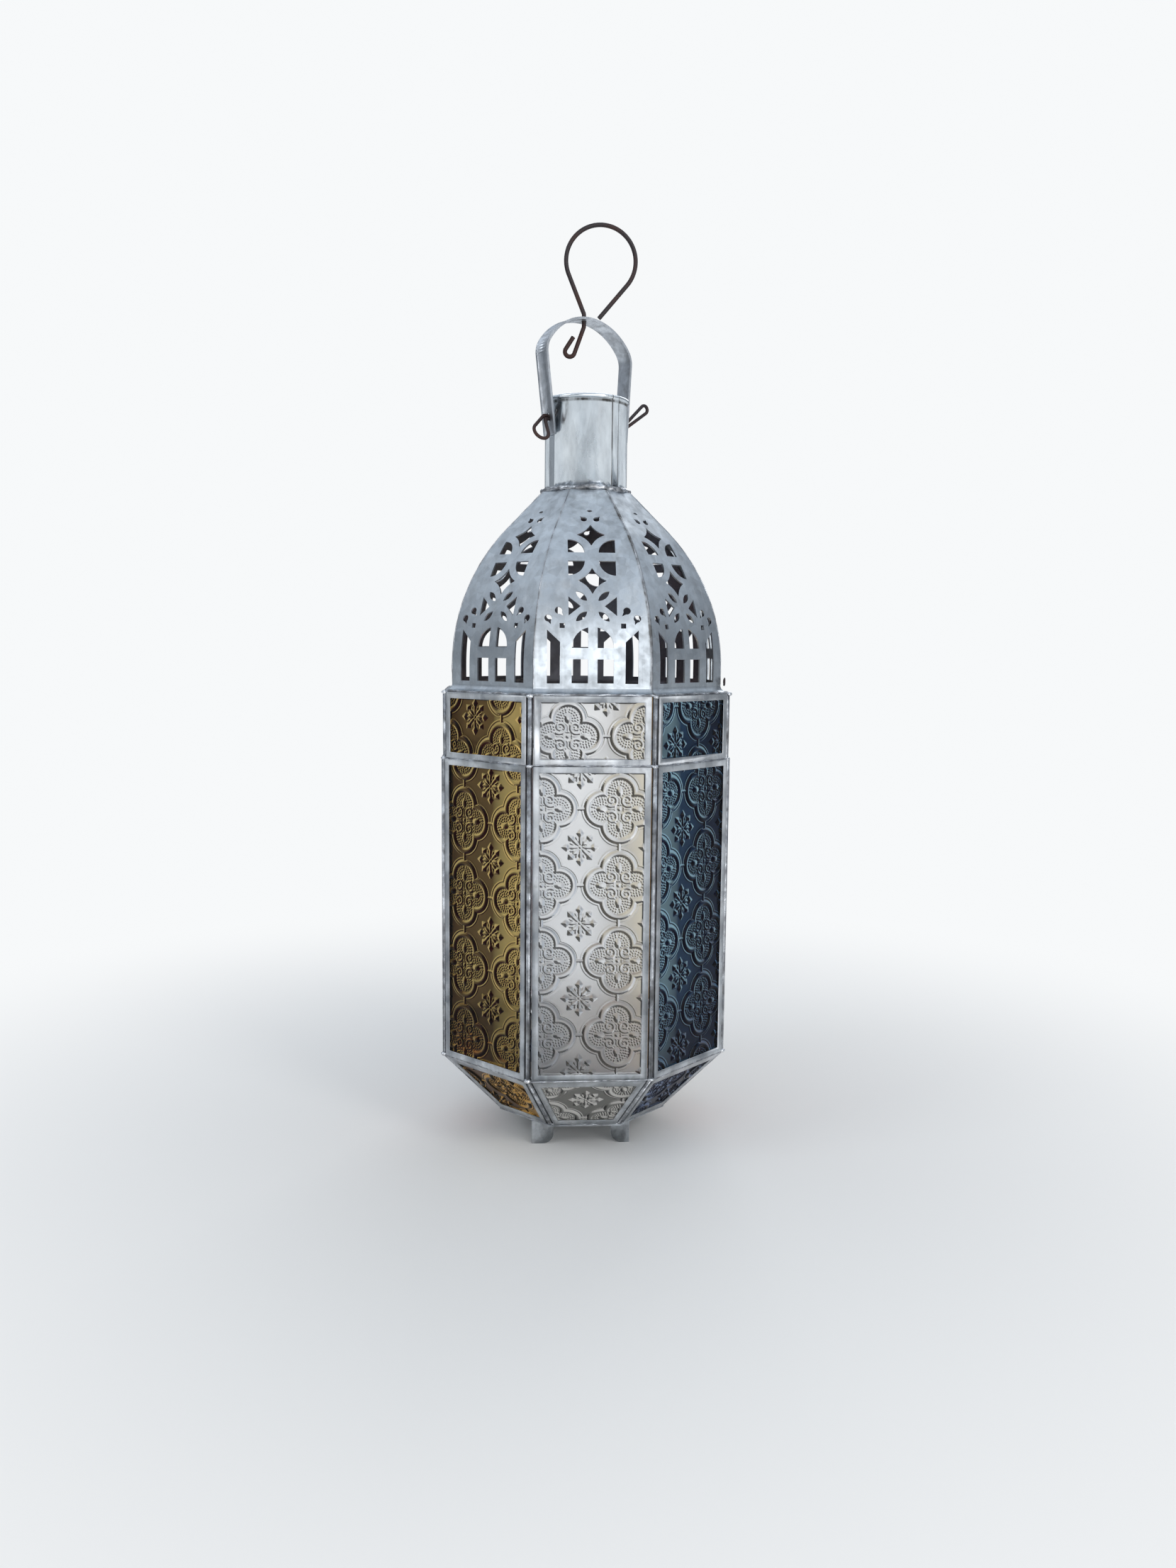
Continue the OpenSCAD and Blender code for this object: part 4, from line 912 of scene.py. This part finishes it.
# Handle. A strip of tin, hemmed along both edges and bent over a form, with a punched
# hole for the hook and one in each leg for its pin.
strap_tin = tin("strap_tin", clean=(0.70, 0.74, 0.79, 1), dull=(0.44, 0.47, 0.51, 1),
                cloud_scale=60.0, grime_amount=0.36, sheen=0.42, waves=0.2)
worked("hemmed_handle", "handle", strap_tin, body="handle")

# Base. The plate that closes the taper, the cup that holds the candle, and four bent
# tabs soldered under the plate as feet, all cut from plain tin with shears.
base_tin = tin("base_tin", clean=(0.50, 0.53, 0.56, 1), dull=(0.30, 0.32, 0.34, 1),
               cloud_scale=50.0, grime_amount=0.5, sheen=0.45, waves=0.3)
for name in ("base_plate", "candle_cup", "foot_1", "foot_2", "foot_3", "foot_4"):
    worked(f"cut_{name}", name, base_tin, bevel=0.15)

# Hook. One black iron wire with a pear loop above the strap and a curl below it that keeps
# it in its hole. Hands and weather have worn the scale of all the wires to brown rust.
RUST_DARK, RUST_BROWN = (0.024, 0.019, 0.022, 1), (0.058, 0.027, 0.022, 1)
RUST_FLAKE, WIRE_ROUGH, RUST_ROUGH = (0.14, 0.09, 0.07, 1), 0.42, 0.25
RUST_SPOTS, FLAKES, FLAKE_SHARE, FLAKE_HEIGHT = 55.0, 900.0, 0.10, 0.00003
HANDLE_TURN, ARCH_Z, ARCH_LEAN, STRAP_SHEET, HEM_RISE = math.radians(31.5), 417.90, 2.0, 0.8, 0.175
HOOK_WIRE, HOOK_BEND, HOOK_LOOP, HOOK_SIDE = 1.1, 3, 17.5, 8.3
HOOK_LEAN, HOOK_BACK = 22.3, 40.5
TAIL_LEAN, TAIL_RUN, CURL_BEND, CURL_TURN, CURL_END = -20, 15.5, 2.45, -193, 7
iron, tree = empty_material("rusty_wire")
place = put(tree, "TexCoord").outputs["Object"]
rust = cloud(tree, place, RUST_SPOTS, low=0.42, high=0.66)
flakes = cloud(tree, place, FLAKES, 2.0, low=0.4, high=0.75)
colour = blend(tree, rust, RUST_DARK, RUST_BROWN)
colour = blend(tree, maths(tree, "MULTIPLY", flakes, FLAKE_SHARE), colour, RUST_FLAKE)
height = maths(tree, "MULTIPLY", flakes, FLAKE_HEIGHT)
bump = put(tree, "Bump", {"Height": height, "Distance": 1.0, "Strength": 1.0})
rough = maths(tree, "ADD", WIRE_ROUGH, maths(tree, "MULTIPLY", rust, RUST_ROUGH))
wire = put(tree, "BsdfPrincipled", {"Base Color": colour, "Roughness": rough, "Metallic": 0.35,
                                    "Normal": bump.outputs[0]})
put(tree, "OutputMaterial", {"Surface": wire.outputs[0]})


def bent_path(start, turn, moves, step=0.35):
    """Points of a wire in a plane; each move is a length, a bend radius and a turn in degrees."""
    x, y, a = start[0], start[1], math.radians(turn)
    points = [(x, y)]
    for length, radius, swing in moves:
        x, y = x + length * math.cos(a), y + length * math.sin(a)
        if length:
            points.append((x, y))
        if swing:
            side = 1 if swing > 0 else -1
            cx, cy = x - side * radius * math.sin(a), y + side * radius * math.cos(a)
            steps = max(4, int(abs(math.radians(swing)) * radius / step))
            for k in range(1, steps + 1):
                b = a + math.radians(swing) * k / steps
                points.append((cx + side * radius * math.sin(b), cy - side * radius * math.cos(b)))
            x, y = points[-1]
            a += math.radians(swing)
    return points


def wire_piece(name, source, points, radius, body):
    piece = grown(name, run_tree, points, iron,
                  {"Radius": radius * MM, "Sides": 14, "Lumps": 0.03 * MM, "Lump scale": 900.0,
                   "Seed": 7.0}, body)
    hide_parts(source)


aim, back = math.radians(HOOK_LEAN), math.radians(HOOK_BACK)
up_z, low_z = ARCH_Z + 2 * HOOK_WIRE, ARCH_Z - STRAP_SHEET - 2 * HOOK_WIRE
run = (HOOK_LOOP * math.cos(aim) - HOOK_SIDE - HOOK_BEND * (1 - math.cos(aim))) / math.sin(aim)
loop_z = up_z + HOOK_BEND * math.sin(aim) + run * math.cos(aim) + HOOK_LOOP * math.sin(aim)
back_run = (loop_z - HOOK_LOOP * math.sin(back) - ARCH_Z - HOOK_WIRE * math.sin(back)
            - HEM_RISE) / math.cos(back)
above = bent_path((0, low_z), 90, [
    (up_z - low_z, HOOK_BEND, HOOK_LEAN), (run, HOOK_LOOP, -(180 + HOOK_LEAN + HOOK_BACK)),
    (back_run, 0, 0)])
below = bent_path((0, low_z), 270, [
    (0, HOOK_BEND, TAIL_LEAN), (TAIL_RUN - 2 * HOOK_WIRE, CURL_BEND, CURL_TURN), (CURL_END, 0, 0)])
shift_x, shift_y = -ARCH_LEAN * math.cos(HANDLE_TURN), -ARCH_LEAN * math.sin(HANDLE_TURN)
wire_piece("bent_hook", "hook", [(x + shift_x, shift_y, z) for x, z in below[::-1] + above[1:]],
           HOOK_WIRE, "hook")

# Handle pins. Two iron wires, each doubled through the neck and a leg of the handle, spread
# inside the neck so that they can't slip out, and bent back outside in a loop.
PIN_WIRE, PIN_Z, PIN_OFF, PIN_START, PIN_EXIT = 0.85, 367.70, 0.95, 18.65, 24.16
PIN_TAIL, PIN_SPREAD = 3.5, math.radians(50)
PINS = (
    # name, turn from the handle's line, start, radius and reach of the loop, its aim and roll
    ("pin_left", 180, PIN_EXIT + 1.4, 4.1, 9.8, -64, 27),
    ("pin_right", 0, PIN_EXIT, 2.1, 16.6, 39, 0),
)


def eased(points, rounds=2):
    """Cuts the corners of a path so that its bends are soft."""
    for _ in range(rounds):
        cut = [points[0]]
        for p, q in zip(points, points[1:]):
            p, q = np.array(p), np.array(q)
            reach = min(0.25, 0.5 / max(np.linalg.norm(q - p), 1e-6))
            cut += [tuple(p + (q - p) * reach), tuple(q - (q - p) * reach)]
        points = cut + [points[-1]]
    return points


for name, base, start, loop, out, aim, roll in PINS:
    aim, roll = math.radians(aim), math.radians(roll)
    middle = (start + out * math.cos(aim), out * math.sin(aim))
    legs, turns = [], []
    for side in (-1, 1):
        dx, dz = middle[0] - start, middle[1] - side * PIN_OFF
        lead = math.atan2(dz, dx) + side * math.asin(loop / math.hypot(dx, dz))
        turns.append(lead + side * math.pi / 2)
        legs.append([
            (PIN_START - PIN_TAIL * math.cos(PIN_SPREAD),
             side * (PIN_OFF + PIN_TAIL * math.sin(PIN_SPREAD))),
            (PIN_START, side * PIN_OFF), (start, side * PIN_OFF)])
    if turns[1] < turns[0]:
        turns[1] += 2 * math.pi
    arc = [(middle[0] + loop * math.cos(a), middle[1] + loop * math.sin(a))
           for a in np.linspace(turns[0], turns[1], 40)]
    turn = HANDLE_TURN + math.radians(base)
    points = []
    for x, z in eased(legs[0] + arc + legs[1][::-1]):
        aside, height = z * math.sin(roll), z * math.cos(roll)
        points.append((x * math.cos(turn) + aside * math.sin(turn),
                       x * math.sin(turn) - aside * math.cos(turn), PIN_Z + height))
    wire_piece(f"looped_{name}", name, points, PIN_WIRE, "lantern")

# Door wires. A small iron staple as the pull, soldered to the door's frame, and the long
# straight wire that the door hangs and turns on.
PULL_WIRE, PULL_HALF, PULL_BEND = 0.8, 5.2, 2.2
low, high = (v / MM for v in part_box("door_pull"))
pull = bent_path((0, -PULL_HALF), 0, [(1.5, PULL_BEND, 90), (6.0, PULL_BEND, 90), (1.5, 0, 0)])
out = high.y - PULL_WIRE - max(x for x, z in pull)
wire_piece("bent_pull", "door_pull",
           [((low.x + high.x) / 2, out + x, (low.z + high.z) / 2 + z) for x, z in pull],
           PULL_WIRE, "door")
worked("iron_hinge", "door_hinge_wire", iron)

# Tie. A thin iron wire, twisted off at the dome's foot to hold two panels together while
# they were soldered, and never cut away.
TIE_WIRE, TIE_TURN, TIE_WIDE, TIE_TALL, TIE_CLIMB = 0.42, 1.18, 0.9, 1.25, 0.12
low, high = (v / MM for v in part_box("wire_tie"))
middle = (low + high) / 2
twist = [(middle.x + TIE_WIDE * math.cos(a) * math.cos(TIE_TURN),
          middle.y + TIE_WIDE * math.cos(a) * math.sin(TIE_TURN),
          middle.z + TIE_TALL * math.sin(a) + TIE_CLIMB * a) for a in np.linspace(-2.5, 7.4, 40)]
wire_piece("twisted_tie", "wire_tie", twist, TIE_WIRE, "lantern")
